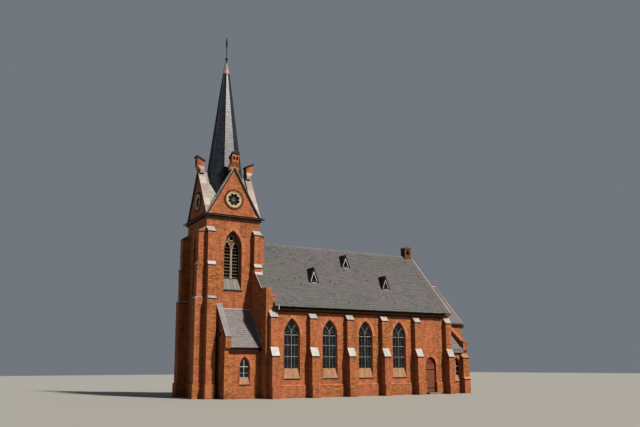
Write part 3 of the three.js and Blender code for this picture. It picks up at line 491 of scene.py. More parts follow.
def span_at(outline: Outline, height: float) -> Span | None:
    """Finds how far an outline reaches at a height.

    Args:
        outline: Corners of a convex outline.
        height: The height to look at.

    Returns:
        The lowest and highest u there, or None where the outline isn't crossed.
    """
    found = []
    for (u0, v0), (u1, v1) in zip(outline, [*outline[1:], outline[0]]):
        if min(v0, v1) <= height <= max(v0, v1) and abs(v1 - v0) > 1e-9:
            found.append(u0 + (u1 - u0) * (height - v0) / (v1 - v0))
    return (min(found), max(found)) if len(found) > 1 else None


PART_FINISHES = {
    "glass": "church_glass", "tracery": "grey_stone", "stones": "grey_stone", "bars": "window_bar",
    "frames": "red_frame", "sills": "sill_brick", "drips": "dark_lead", "arches": "rubbed_brick",
    "roofs": "dark_lead", "boards": "white_paint", "slats": "painted_shade_black", "aprons": "dull_zinc",
}


def lay_piece(name: str, shape: Shape, finish: str, body: str = "building", replaces: Sequence[str] = (),
              bevel: float = 0.0) -> None:
    """Makes one piece of the scene and puts it on its body, in its finish's slot.

    Args:
        name: The piece's name.
        shape: Its corners and faces.
        finish: Name of its material.
        body: The body that it rides on.
        replaces: Solids that it stands for.
        bevel: Width of the worn edge, or 0 for none.
    """
    mesh = bpy.data.meshes.new(name)
    mesh.from_pydata([tuple(p) for p in shape.points], [], shape.faces)
    work = bmesh.new()
    work.from_mesh(mesh)
    bmesh.ops.recalc_face_normals(work, faces=work.faces)
    work.to_mesh(mesh)
    work.free()
    mesh.materials.append(bpy.data.materials[finish])
    piece = bpy.data.objects.new(name, mesh)
    bpy.context.scene.collection.objects.link(piece)
    if bevel:
        edge = piece.modifiers.new("worn_edges", "BEVEL")
        edge.width = bevel
        edge.segments = 1
        edge.limit_method = "ANGLE"
    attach(piece, body)
    if replaces:
        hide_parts(*replaces)
    LOG.info("%s: %d faces, %s, on %s", name, len(mesh.polygons), finish, body)


def gather(sets: Iterable[dict[str, Shape]]) -> dict[str, Shape]:
    """Joins sets of parts into one, part by part.

    Args:
        sets: The sets, each with its parts by name.

    Returns:
        The joined parts by name.
    """
    joined: dict[str, Shape] = {}
    for parts in sets:
        for part, shape in parts.items():
            joined.setdefault(part, Shape()).join(shape)
    return joined


def lay_parts(pattern: str, parts: dict[str, Shape], **finishes: str) -> None:
    """Lays a set of parts, each in the finish that goes with its kind.

    Args:
        pattern: The pieces' name, with {} for the part.
        parts: The parts by name.
        finishes: Finishes of parts that differ from the usual ones.
    """
    for part, shape in parts.items():
        lay_piece(pattern.format(part), shape, finishes.get(part, PART_FINISHES[part]))


# Finishes


def colour(code: str) -> tuple[float, float, float, float]:
    """Turns a six-digit screen colour into the renderer's linear colour.

    Args:
        code: The colour, such as c8703c.

    Returns:
        Red, green, blue and a full alpha.
    """
    parts = [int(code[i:i + 2], 16) / 255 for i in (0, 2, 4)]
    linear = [p / 12.92 if p <= 0.04045 else ((p + 0.055) / 1.055) ** 2.4 for p in parts]
    return (linear[0], linear[1], linear[2], 1.0)


Link = bpy.types.NodeSocket
Value = Link | float | tuple


class Graph:
    """One node tree with short calls to add and link nodes."""

    def __init__(self, tree: bpy.types.NodeTree) -> None:
        """Keeps the tree to work on."""
        self.tree = tree

    def put(self, kind: str, inputs: dict[str | int, Value] | None = None, **settings: object) -> bpy.types.Node:
        """Adds a node.

        Args:
            kind: The node's type.
            inputs: Sockets to link and constants to set, by input name or place.
            settings: The node's own options.

        Returns:
            The node.
        """
        made = self.tree.nodes.new(kind)
        for name, value in settings.items():
            setattr(made, name, value)
        for key, value in (inputs or {}).items():
            if isinstance(value, bpy.types.NodeSocket):
                self.tree.links.new(value, made.inputs[key])
            else:
                made.inputs[key].default_value = value
        return made

    def calc(self, operation: str, *values: Value) -> Link:
        """Adds a sum of one or two values and gives its result."""
        return self.put("ShaderNodeMath", dict(enumerate(values)), operation=operation).outputs[0]

    def vector(self, operation: str, *values: Value) -> bpy.types.Node:
        """Adds a sum of vectors and gives its node."""
        return self.put("ShaderNodeVectorMath", dict(enumerate(values)), operation=operation)

    def tint(self, shade: Link, mask: Value, share: float, code: str) -> Link:
        """Mixes that share of a colour into a shade where the mask is full."""
        values = {0: self.calc("MULTIPLY", mask, share), 6: shade, 7: colour(code)}
        return self.put("ShaderNodeMix", values, data_type="RGBA").outputs[2]

    def ramp(self, share: Value, stops: Sequence[tuple[float, str]]) -> Link:
        """Adds a ramp of colours that run into each other.

        Args:
            share: Where to read the ramp.
            stops: Place and colour of each stop.

        Returns:
            The colour.
        """
        node = self.put("ShaderNodeValToRGB", {0: share})
        elements = node.color_ramp.elements
        while len(elements) < len(stops):
            elements.new(0.5)
        for element, (place, code) in zip(elements, stops):
            element.position = place
            element.color = colour(code)
        return node.outputs[0]

    def window(self, value: Value, low: Value, high: Value, start: float = 0.0, end: float = 1.0) -> Link:
        """Maps the range from low to high to that from start to end, and stays inside it."""
        values = {0: value, 1: low, 2: high, 3: start, 4: end}
        return self.put("ShaderNodeMapRange", values).outputs[0]

    def group(self, name: str, **inputs: Value) -> bpy.types.bpy_prop_collection:
        """Places a shared group, its inputs by name with _ for a space, and gives its outputs."""
        values = {label.replace("_", " "): value for label, value in inputs.items()}
        return self.put("ShaderNodeGroup", values, node_tree=bpy.data.node_groups[name]).outputs

    def stains(self, size: float, spread: float, seed: float = 0.0) -> Link:
        """Places the broad patches of the shared group, and gives their mask."""
        return self.group("stains", Size=size, Spread=spread, Seed=seed)[0]

    def courses(self, along: Link, size: tuple[Value, Value], joint: Value, soft: float,
                offset: float) -> bpy.types.bpy_prop_collection:
        """Adds courses of bricks or panes, each with its own tone.

        Args:
            along: Where to read the pattern.
            size: Width and height of one brick or pane.
            joint: Width of the joints.
            soft: How softly the joints end.
            offset: How far every other course is shifted.

        Returns:
            The pattern's outputs.
        """
        values = {
            "Vector": along, "Color1": (0, 0, 0, 1), "Color2": (1, 1, 1, 1), "Mortar": (0.5, 0.5, 0.5, 1),
            "Scale": 1.0, "Bias": 0.0, "Mortar Size": joint, "Mortar Smooth": soft, "Brick Width": size[0],
            "Row Height": size[1],
        }
        return self.put("ShaderNodeTexBrick", values, offset=offset).outputs


SOCKETS = {"value": "NodeSocketFloat", "vector": "NodeSocketVector"}


class SharedGroup:
    """A node group that more than one finish uses."""

    def __init__(self, name: str, inputs: dict[str, tuple[str, float | None]], outputs: Sequence[str]) -> None:
        """Makes the empty group.

        Args:
            name: The group's name.
            inputs: Kind and usual value of each input.
            outputs: The outputs' names. Along is a vector, and every other one a value.
        """
        self.tree = bpy.data.node_groups.new(name, "ShaderNodeTree")
        self.graph = Graph(self.tree)
        for label, (kind, usual) in inputs.items():
            socket = self.tree.interface.new_socket(label, in_out="INPUT", socket_type=SOCKETS[kind])
            if usual is not None:
                socket.default_value = usual
        for label in outputs:
            kind = "vector" if label == "Along" else "value"
            self.tree.interface.new_socket(label, in_out="OUTPUT", socket_type=SOCKETS[kind])
        self.source = self.tree.nodes.new("NodeGroupInput").outputs
        self.result = self.tree.nodes.new("NodeGroupOutput").inputs

    def noise(self, spot: Link, size: str, **looks: float) -> Link:
        """Adds an uneven pattern whose size one of the group's inputs gives."""
        scale = self.graph.calc("DIVIDE", 1.0, self.source[size])
        return self.graph.put("ShaderNodeTexNoise", {"Vector": spot, "Scale": scale, **looks}).outputs[0]

    def give(self, **links: Link) -> None:
        """Links results to the group's outputs, by name."""
        for label, link in links.items():
            self.tree.links.new(link, self.result[label])


def make_wall_frame() -> None:
    """Makes the group that runs level along any wall and up it."""
    made = SharedGroup("wall_frame", {}, ["Along"])
    g = made.graph
    place = g.put("ShaderNodeTexCoord")
    normal = place.outputs["Normal"]
    level = g.vector("NORMALIZE", g.vector("CROSS_PRODUCT", (0, 0, 1), normal).outputs[0]).outputs[0]
    run = g.vector("DOT_PRODUCT", place.outputs["Object"], level).outputs["Value"]
    spot = g.put("ShaderNodeSeparateXYZ", {0: place.outputs["Object"]}).outputs
    tilt = g.calc("ABSOLUTE", g.put("ShaderNodeSeparateXYZ", {0: normal}).outputs[2])
    flat = g.calc("GREATER_THAN", tilt, 0.95)
    upright = g.calc("SUBTRACT", 1.0, flat)
    u = g.calc("ADD", g.calc("MULTIPLY", run, upright), g.calc("MULTIPLY", spot[0], flat))
    v = g.calc("ADD", g.calc("MULTIPLY", spot[2], upright), g.calc("MULTIPLY", spot[1], flat))
    made.give(Along=g.put("ShaderNodeCombineXYZ", {0: u, 1: v}).outputs[0])


def make_brick_bond() -> None:
    """Makes the group that lays courses of bricks with joints."""
    made = SharedGroup("brick_bond", {
        "Along": ("vector", None), "Brick Length": ("value", 0.25), "Course Height": ("value", 0.077),
        "Joint Width": ("value", 0.005),
    }, ["Tone", "Joint", "Height"])
    source = made.source
    size = (source["Brick Length"], source["Course Height"])
    bond = made.graph.courses(source["Along"], size, source["Joint Width"], 0.3, 0.5)
    height = made.graph.calc("SUBTRACT", 1.0, bond["Fac"])
    made.give(Tone=bond["Color"], Joint=bond["Fac"], Height=height)


def make_stains() -> None:
    """Makes the group of broad uneven patches."""
    inputs = {"Size": ("value", 1.0), "Spread": ("value", 0.12), "Seed": ("value", 0.0)}
    made = SharedGroup("stains", inputs, ["Mask"])
    g = made.graph
    spot = g.put("ShaderNodeTexCoord").outputs["Object"]
    shift = g.put("ShaderNodeCombineXYZ", {0: made.source["Seed"], 1: made.source["Seed"]}).outputs[0]
    noise = made.noise(g.vector("ADD", spot, shift).outputs[0], "Size", Detail=5.0, Roughness=0.62)
    low, high = (g.calc(operation, 0.5, made.source["Spread"]) for operation in ("SUBTRACT", "ADD"))
    made.give(Mask=g.window(noise, low, high))


def make_streaks() -> None:
    """Makes the group of marks that rain leaves down a wall."""
    made = SharedGroup("streaks", {"Width": ("value", 0.15), "Spread": ("value", 0.1)}, ["Mask"])
    g = made.graph
    spot = g.put("ShaderNodeTexCoord").outputs["Object"]
    noise = made.noise(g.vector("MULTIPLY", spot, (1, 1, 0.08)).outputs[0], "Width", Detail=3.0)
    made.give(Mask=g.window(noise, 0.52, g.calc("ADD", 0.52, made.source["Spread"])))


def make_grain() -> None:
    """Makes the group of fine pits and grit."""
    made = SharedGroup("grain", {"Size": ("value", 0.02), "Stretch": ("value", 1.0)}, ["Height", "Shade"])
    g = made.graph
    spot = g.put("ShaderNodeTexCoord").outputs["Object"]
    scale = g.put("ShaderNodeCombineXYZ", {0: 1.0, 1: 1.0, 2: made.source["Stretch"]}).outputs[0]
    noise = made.noise(g.vector("MULTIPLY", spot, scale).outputs[0], "Size", Detail=6.0, Roughness=0.7)
    made.give(Height=noise, Shade=g.window(noise, 0.3, 0.7))


def make_foot_damp() -> None:
    """Makes the group of damp and dirt that rises from the ground."""
    made = SharedGroup("foot_damp", {"Reach": ("value", 0.7)}, ["Mask"])
    g = made.graph
    spot = g.put("ShaderNodeTexCoord").outputs["Object"]
    height = g.put("ShaderNodeSeparateXYZ", {0: spot}).outputs[2]
    noise = g.put("ShaderNodeTexNoise", {"Vector": spot, "Scale": 1.6, "Detail": 5.0}).outputs[0]
    fall = g.window(height, 0.0, made.source["Reach"], 1.0, 0.0)
    made.give(Mask=g.calc("MULTIPLY", fall, g.window(noise, 0.35, 0.6)))


def make_piece_tone() -> None:
    """Makes the group that gives each separate slate, stone or board its own tone."""
    made = SharedGroup("piece_tone", {}, ["Tone"])
    made.give(Tone=made.graph.put("ShaderNodeNewGeometry").outputs["Random Per Island"])


@dataclass(frozen=True)
class Finish:
    """What every finish has: a name, tones from dark to light, and how rough it is."""

    name: str
    tones: tuple[str, ...]
    roughness: Span = (0.75, 0.9)

    def start(self, **constants: float) -> tuple[Graph, bpy.types.Node]:
        """Makes the material.

        Args:
            constants: Values of the shader's sockets, by name with _ for a space.

        Returns:
            Its nodes and its shader.
        """
        made = bpy.data.materials.new(self.name)
        made.use_nodes = True
        made.diffuse_color = colour(self.tones[len(self.tones) // 2])
        shader = made.node_tree.nodes["Principled BSDF"]
        for label, value in constants.items():
            shader.inputs[label.replace("_", " ")].default_value = value
        return Graph(made.node_tree), shader

    def stops(self) -> list[tuple[float, str]]:
        """Spreads the tones evenly over a ramp."""
        last = max(1, len(self.tones) - 1)
        return [(i / last, tone) for i, tone in enumerate(self.tones)]

    def cover(self, g: Graph, shader: bpy.types.Node, shade: Link, rough: Link) -> None:
        """Links colour and roughness to the shader."""
        g.tree.links.new(shade, shader.inputs["Base Color"])
        g.tree.links.new(g.window(rough, 0.0, 1.0, *self.roughness), shader.inputs["Roughness"])

    def relief(self, g: Graph, shader: bpy.types.Node, height: Link, strength: float, distance: float) -> None:
        """Turns a height into bumps, so strong and so many metres deep."""
        bump = g.put("ShaderNodeBump", {"Height": height, "Strength": strength, "Distance": distance})
        g.tree.links.new(bump.outputs[0], shader.inputs["Normal"])


@dataclass(frozen=True)
class BrickFinish(Finish):
    """Coursed brickwork with joints, patches of other firings, run-off and damp."""

    joint: str = "b79a80"
    patch: str = "b8705c"
    patch_share: float = 0.45
    dark: str = "5a2c1c"
    damp: str = "6b4a36"
    length: float = 0.25
    height: float = 0.077
    joint_width: float = 0.0045

    def make(self) -> None:
        """Builds the material."""
        g, shader = self.start()
        bond = g.group("brick_bond", Along=g.group("wall_frame")[0], Brick_Length=self.length,
                       Course_Height=self.height, Joint_Width=self.joint_width)
        shade = g.tint(g.ramp(bond["Tone"], self.stops()), g.stains(1.9, 0.13), self.patch_share, self.patch)
        burnt = g.calc("MULTIPLY", g.calc("GREATER_THAN", bond["Tone"], 0.72), 0.3)
        shade = g.tint(shade, g.calc("MULTIPLY", burnt, g.stains(0.55, 0.10, 7.0)), 1.0, self.dark)
        shade = g.tint(shade, bond["Joint"], 0.75, self.joint)
        shade = g.tint(shade, g.group("streaks", Width=0.22, Spread=0.14)[0], 0.28, self.dark)
        shade = g.tint(shade, g.group("foot_damp", Reach=0.85)[0], 0.4, self.damp)
        grit = g.group("grain", Size=0.02, Stretch=1.0)
        self.cover(g, shader, g.tint(shade, grit["Shade"], 0.16, self.tones[0]), grit["Shade"])
        height = g.calc("ADD", bond["Height"], g.calc("MULTIPLY", grit["Height"], 0.35))
        self.relief(g, shader, height, 0.6, 0.006)


@dataclass(frozen=True)
class PieceFinish(Finish):
    """Separate bricks, stones or slates, each with its own tone, with patches and grit."""

    patch: str = "8a7a74"
    patch_size: float = 1.6
    patch_share: float = 0.35
    mark: str = "3c3836"
    mark_share: float = 0.25
    moss: str = ""
    grain_size: float = 0.02
    depth: float = 0.003
    coat: float = 0.0
    specular: float = 0.5

    def make(self) -> None:
        """Builds the material."""
        g, shader = self.start(Specular_IOR_Level=self.specular, Metallic=0.0, Coat_Weight=self.coat,
                               Coat_Roughness=0.3)
        shade = g.ramp(g.group("piece_tone")[0], self.stops())
        shade = g.tint(shade, g.stains(self.patch_size, 0.14, 3.0), self.patch_share, self.patch)
        if self.moss:
            shade = g.tint(shade, g.stains(self.patch_size * 1.4, 0.08, 17.0), self.patch_share, self.moss)
        shade = g.tint(shade, g.stains(0.35, 0.16, 11.0), self.mark_share, self.mark)
        grit = g.group("grain", Size=self.grain_size, Stretch=1.0)
        self.cover(g, shader, g.tint(shade, grit["Shade"], 0.14, self.tones[0]), grit["Shade"])
        self.relief(g, shader, grit["Height"], 0.5, self.depth)


@dataclass(frozen=True)
class SheetFinish(Finish):
    """Sheet metal or painted iron with run-off, dull patches and small dents."""

    streak: str = "8c8a84"
    streak_share: float = 0.3
    metal: float = 0.4
    depth: float = 0.004

    def make(self) -> None:
        """Builds the material."""
        g, shader = self.start(Metallic=self.metal)
        shade = g.ramp(g.stains(0.5, 0.2, 5.0), self.stops())
        shade = g.tint(shade, g.group("streaks", Width=0.07, Spread=0.2)[0], self.streak_share, self.streak)
        dents = g.group("grain", Size=0.12, Stretch=1.0)
        self.cover(g, shader, shade, dents["Shade"])
        self.relief(g, shader, dents["Height"], 0.35, self.depth)


@dataclass(frozen=True)
class TimberFinish(Finish):
    """Boards with upright grain, worn and weathered."""

    worn: str = "8a6a50"
    stretch: float = 0.06

    def make(self) -> None:
        """Builds the material."""
        g, shader = self.start()
        grain = g.group("grain", Size=0.012, Stretch=self.stretch)
        share = g.calc("MULTIPLY", g.calc("ADD", grain["Shade"], g.group("piece_tone")[0]), 0.5)
        shade = g.tint(g.ramp(share, self.stops()), g.stains(0.3, 0.15, 2.0), 0.3, self.worn)
        self.cover(g, shader, shade, grain["Shade"])
        self.relief(g, shader, grain["Height"], 0.5, 0.002)


@dataclass(frozen=True)
class GlassFinish(Finish):
    """Dark leaded glass: small panes that lean a little, with lead lines between them."""

    lead: str = "3b3f42"
    pane: Span = (0.16, 0.22)
    line: float = 0.006

    def make(self) -> None:
        """Builds the material."""
        g, shader = self.start(Specular_IOR_Level=0.6)
        bond = g.courses(g.group("wall_frame")[0], self.pane, self.line, 0.2, 0.0)
        tone, line = bond["Color"], bond["Fac"]
        share = g.calc("MULTIPLY", g.calc("ADD", tone, g.stains(0.8, 0.16, 9.0)), 0.5)
        shade = g.tint(g.ramp(share, self.stops()), line, 1.0, self.lead)
        dust = g.group("grain", Size=0.05, Stretch=1.0)
        self.cover(g, shader, shade, g.calc("MAXIMUM", line, g.calc("MULTIPLY", dust["Shade"], 0.4)))
        ripple = g.calc("MULTIPLY", g.calc("ADD", tone, dust["Height"]), 0.4)
        self.relief(g, shader, g.calc("ADD", ripple, line), 0.35, 0.006)


FINISHES: tuple[Finish, ...] = (
    BrickFinish("wall_brick", ("704223", "8b572a", "9e6736", "b27c48", "855940"), (0.78, 0.95), patch_share=0.5),
    PieceFinish("rubbed_brick", ("96583a", "ab6e4c", "b9805e", "c08c6c", "a46c50"), (0.75, 0.92),
                patch="b08468", mark="6c4230"),
    PieceFinish("sill_brick", ("94745c", "a3836a", "ad907a", "a07c68"), (0.75, 0.92),
                patch="a88c66", patch_size=0.5, mark="6c4e3c"),
    # A darker copy of the wall brick: painted shade, for the ring round the rose and the dentils under the eave.
    PieceFinish("wall_brick_painted_shade", ("3c2016", "50291b", "653623", "73422c"), (0.78, 0.95),
                patch="633c2e", mark="2e1a14"),
    PieceFinish("bell_brick", ("5a3c22", "72502e", "866238", "6b4628"), (0.78, 0.95),
                patch="7c5a3c", mark="3a2616"),
    PieceFinish("nave_slate", ("525658", "5c5f61", "67696a", "616363"), (0.5, 0.75),
                patch="77646e", patch_size=2.4, patch_share=0.55, mark="4a494b", mark_share=0.2, moss="61655f",
                grain_size=0.03),
    PieceFinish("annex_slate", ("6c686b", "787377", "847e82", "797175"), (0.5, 0.75),
                patch="82767b", patch_size=1.2, mark="56545a", moss="747870", grain_size=0.03),
    PieceFinish("spire_slate", ("2a2e36", "343941", "414652", "3a3f49"), (0.38, 0.55),
                patch="484d5a", patch_share=0.35, mark="23262c", grain_size=0.03, specular=0.46, coat=0.07),
    # Slate made pale all over: the pale tone is painted sheen of sunlit slate, which is darker itself.
    PieceFinish("pale_slate", ("7c7c78", "8f8d88", "a09c96", "aca59f"), (0.36, 0.55),
                patch="a89c96", mark="6c6f68", moss="868d80", grain_size=0.03, specular=0.6),
    PieceFinish("cream_stone", ("a39277", "b5a587", "c1b397", "c6baa2"), (0.7, 0.9),
                patch="ac9d80", patch_size=0.5, mark="635a48", grain_size=0.015),
    # A darker copy of the cream stone: painted shade on the belfry's tracery plate.
    PieceFinish("tracery_stone_painted_shade", ("63533f", "725f49", "7f6b54", "77644d"), (0.7, 0.9),
                patch="6f5a46", patch_size=0.4, mark="3e352a", grain_size=0.015),
    PieceFinish("verge_stone", ("8f8582", "a1968f", "b0a59d", "b8aea8"), (0.7, 0.9),
                patch="a08f8a", patch_size=0.6, mark="5a504c", grain_size=0.015),
    PieceFinish("grey_stone", ("6c6a64", "7a7872", "878480", "726f6a"), (0.65, 0.85),
                patch="686862", patch_size=0.5, mark="4a4844", grain_size=0.015),
    SheetFinish("zinc", ("8a8886", "999695", "a7a4a3"), (0.4, 0.6), streak="787573", metal=0.0),
    SheetFinish("dull_zinc", ("6c696b", "7a7678", "878284"), (0.45, 0.65), streak="5a5759", metal=0.0),
    SheetFinish("cornice_brown", ("3a2614", "4d331b", "5e4226"), (0.45, 0.65), streak="6b5636", metal=0.1),
    SheetFinish("gutter_brown", ("2c1712", "3b2019", "4a2b21"), (0.4, 0.6), streak="201310", metal=0.1),
    SheetFinish("lead", ("7c7678", "968b8d", "a89c9d"), (0.35, 0.55), streak="6d6a6c", metal=0.3),
    SheetFinish("cap_lead", ("7d6866", "8f7a77", "a18d8a"), (0.45, 0.65), streak="6a5654", metal=0.0),
    SheetFinish("dark_lead", ("1f2022", "2b2c2c", "3a3a36"), (0.3, 0.5), streak="4c4c3c", metal=0.3),
    SheetFinish("gutter_iron", ("14191a", "1c2322", "262d2a"), (0.3, 0.5), streak="303a33", metal=0.4),
    SheetFinish("window_bar", ("9aa39c", "b4bbb2", "c8cdc4"), (0.4, 0.6), streak="7c857e", metal=0.2),
    SheetFinish("white_paint", ("adafae", "bfc0be", "cfcfcb"), (0.4, 0.6), streak="8e8e88", metal=0.0),
    # Near-black painted shade for the belfry backs, the pinnacle niches, the inside of the dormers, the annex vents
    # and the cornice rolls.
    SheetFinish("painted_shade_black", ("0b0b0d", "121214", "1b1a1c"), (0.6, 0.8), streak="08080a", metal=0.0),
    TimberFinish("oak", ("33190f", "4a2617", "5e3320"), (0.5, 0.75), worn="6e432c"),
    TimberFinish("red_frame", ("4e1b14", "6c281e", "86392b"), (0.5, 0.75), worn="8f5a48"),
    TimberFinish("louvre_timber", ("1c1714", "28201b", "352a22"), (0.6, 0.85), worn="40352a", stretch=1.0),
    # Pale timber for the louvre boards' front edges: painted highlight.
    TimberFinish("louvre_painted_highlight", ("6c6254", "7c7262", "8a806e"), (0.6, 0.85), worn="5c5244", stretch=1.0),
    GlassFinish("church_glass", ("0d0e10", "17191c", "232a33", "2b2c2e"), (0.12, 0.5)),
    PieceFinish("paving", ("86807a", "968f87", "a39b92"), (0.75, 0.9), patch="8e877e", mark="6a645c"),
)


def make_finishes() -> None:
    """Makes the shared groups and then every finish."""
    for make in (make_wall_frame, make_brick_bond, make_stains, make_streaks, make_grain, make_foot_damp,
                 make_piece_tone):
        make()
    for finish in FINISHES:
        finish.make()
        LOG.info("finish %s made", finish.name)


# Sub-assemblies


@dataclass
class Weathering:
    """A sheet-metal cap on one sloping set-off of a buttress, with a dark nosing under it, part real course and
    part painted shadow of the cap's edge.
    """

    across: Span
    face: float
    outer: float
    inner: float
    low: float
    high: float
    overhang: float = 0.028
    thickness: float = 0.022

    def cap(self) -> Shape:
        """Makes the cap for a south-facing buttress."""
        front = self.face - self.outer - self.overhang
        back = self.face - self.inner + 0.012
        section = [(front, self.low - 0.02), (front, self.low + self.thickness),
                   (back, self.high + self.thickness + 0.01), (back, self.high - 0.03)]
        return Shape().prism(Axis.X, section, widened(self.across, self.overhang))

    def nosing(self) -> Shape:
        """Makes the dark course under the cap's edge, part real nosing and part painted shadow."""
        reach = self.overhang * 0.55
        depth = (self.face - self.outer - reach, self.face - self.inner)
        return Shape().block(widened(self.across, reach), depth, (self.low - 0.075, self.low - 0.02))


def stepped_caps(across: Span, face: float, stages: Stages) -> tuple[Shape, Shape]:
    """Makes the caps of a buttress that steps back as it rises.

    Args:
        across: The buttress's lowest and highest x.
        face: The wall's face.
        stages: Reach, height of the slope's foot and of its top, from the bottom up.

    Returns:
        The caps and the dark nosings, part painted shadow.
    """
    caps = Shape()
    nosings = Shape()
    for i, (reach, low, high) in enumerate(stages):
        inner = stages[i + 1][0] if i + 1 < len(stages) else 0.0
        one = Weathering(across, face, reach, inner, low, high)
        caps.join(one.cap())
        nosings.join(one.nosing())
    return caps, nosings


@dataclass
class Belfry:
    """The four belfry windows: arch rings, tracery, louvres and sills."""

    half: float = 2.0
    width: float = 1.31
    sill: float = 7.37
    sill_top: float = 8.20
    spring: float = 10.45
    apex: float = 11.65
    plate: Span = (-1.60, -1.48)
    light_width: float = 0.53
    light_offset: float = 0.32
    light_sill: float = 8.26
    eye: Span = (11.14, 0.18)
    slats: int = 10
    sill_count: int = 5

    def light(self, side: int) -> Outline:
        """Draws one light with a three-lobed head.

        Args:
            side: -1 for the left light, 1 for the right.

        Returns:
            Its corners.
        """
        centre = side * self.light_offset
        half = self.light_width / 2
        neck = self.spring - 0.12
        head = []
        steps = 24
        for i in range(steps + 1):
            angle = math.pi - math.pi * i / steps
            lobe = 0.74 + 0.26 * abs(math.sin(3 * angle)) ** 0.7
            reach = half * lobe * (1 + 0.55 * math.sin(angle) ** 6)
            head.append(polar(angle, reach, centre, self.spring))
        return [*head, (centre + half, neck), (centre + half, self.light_sill), (centre - half, self.light_sill),
                (centre - half, neck)]

    def tracery(self) -> Shape:
        """Makes the stone plate with two lights and an eye."""
        edge = pointed_outline(0, self.width + 0.03, self.sill_top, self.spring, self.apex + 0.02)
        holes = [self.light(-1), self.light(1), circle_outline(0, *self.eye, 20)]
        return Shape().plate(Axis.Y, edge, holes, self.plate)

    def rolls(self) -> Shape:
        """Makes the pale rolls round the lights and the eye, and the slim column between the lights."""
        front = self.plate[0] - 0.012
        shape = Shape()
        for side in SIDES:
            shape.rim(self.light(side), front, 0.024)
        shape.rim(circle_outline(0, *self.eye, 20), front, 0.03)
        column = [(0.06, 0), (0.06, 0.09), (0.03, 0.14), (0.03, 2.02), (0.045, 2.06), (0.045, 2.10), (0.07, 2.20),
                  (0.07, 2.24)]
        return shape.turned(column, (0, front - 0.01, self.sill_top + 0.02), 12)

    def slat_places(self, count: int) -> list[tuple[Span, float]]:
        """Gives the x range and the foot of that many boards in each light."""
        pitch = (self.spring + 0.12 - self.light_sill) / self.slats
        spans = [about(side * self.light_offset, self.light_width / 2 + 0.01) for side in SIDES]
        return [(span, self.light_sill + 0.05 + pitch * i) for span in spans for i in range(count)]

    def edge_highlights(self) -> Shape:
        """Makes pale strips on the boards' front edges: painted highlight where the sun catches them."""
        shape = Shape()
        for span, low in self.slat_places(self.slats - 2):
            shape.block(span, (self.plate[0] - 0.012, self.plate[0] + 0.002), (low, low + 0.034))
        return shape

    def louvres(self) -> Shape:
        """Makes the sloping boards in both lights."""
        front, back = self.plate[0] - 0.006, self.plate[1] - 0.01
        shape = Shape()
        for span, low in self.slat_places(self.slats):
            section = [(front, low), (front, low + 0.024), (back, low + 0.14), (back, low + 0.116)]
            shape.prism(Axis.X, section, span)
        return shape

    def sill_stones(self) -> Shape:
        """Makes the steep stone sill, in a few pieces."""
        section = [(-1.97, 7.40), (-1.97, 7.46), (-1.615, 8.23), (-1.50, 8.23), (-1.50, 7.40)]
        shape = Shape()
        for i in range(self.sill_count):
            left = -self.width / 2 + self.width * i / self.sill_count + 0.003
            shape.prism(Axis.X, section, (left, left + self.width / self.sill_count - 0.006))
        return shape

    def build(self) -> None:
        """Makes the pieces of all four sides."""
        # The tracery plate is laid in a darker copy of its rolls' cream stone: painted shade.
        makes = {"stonework": (self.tracery, "tracery_stone_painted_shade"), "rolls": (self.rolls, "cream_stone"),
                 "louvres": (self.louvres, "louvre_timber"), "louvre_highlight_strips": (self.edge_highlights, "louvre_painted_highlight")}
        for side in Side:
            label = side.name.lower()
            for part, (make, finish) in makes.items():
                replaced = [f"belfry_tracery_{label}"] if part == "stonework" else []
                lay_piece(f"belfry_{part}_{label}", make().placed(side.turn()), finish, replaces=replaced)
        # Dark plates behind the louvres: painted shade inside the belfry.
        head = pointed_outline(0, self.width + 0.03, self.sill_top, self.spring, self.apex)
        backs = Shape().plate(Axis.Y, head, [], (self.plate[1] + 0.01, self.plate[1] + 0.03))
        lay_piece("belfry_painted_shade", backs.each_side(), "painted_shade_black")
        lay_piece("belfry_sills", self.sill_stones().each_side(), "grey_stone", bevel=0.006)
        ring = ArchRing(0, self.width, self.spring, self.apex, -self.half, rise=0.25)
        lay_piece("belfry_arches", ring.build().each_side(), "rubbed_brick")
        drip = Shape().block((-0.72, 0.72), (-2.035, -1.9), (self.sill - 0.05, self.sill + 0.015))
        lay_piece("belfry_drips", drip.each_side(), "dark_lead", bevel=0.008)


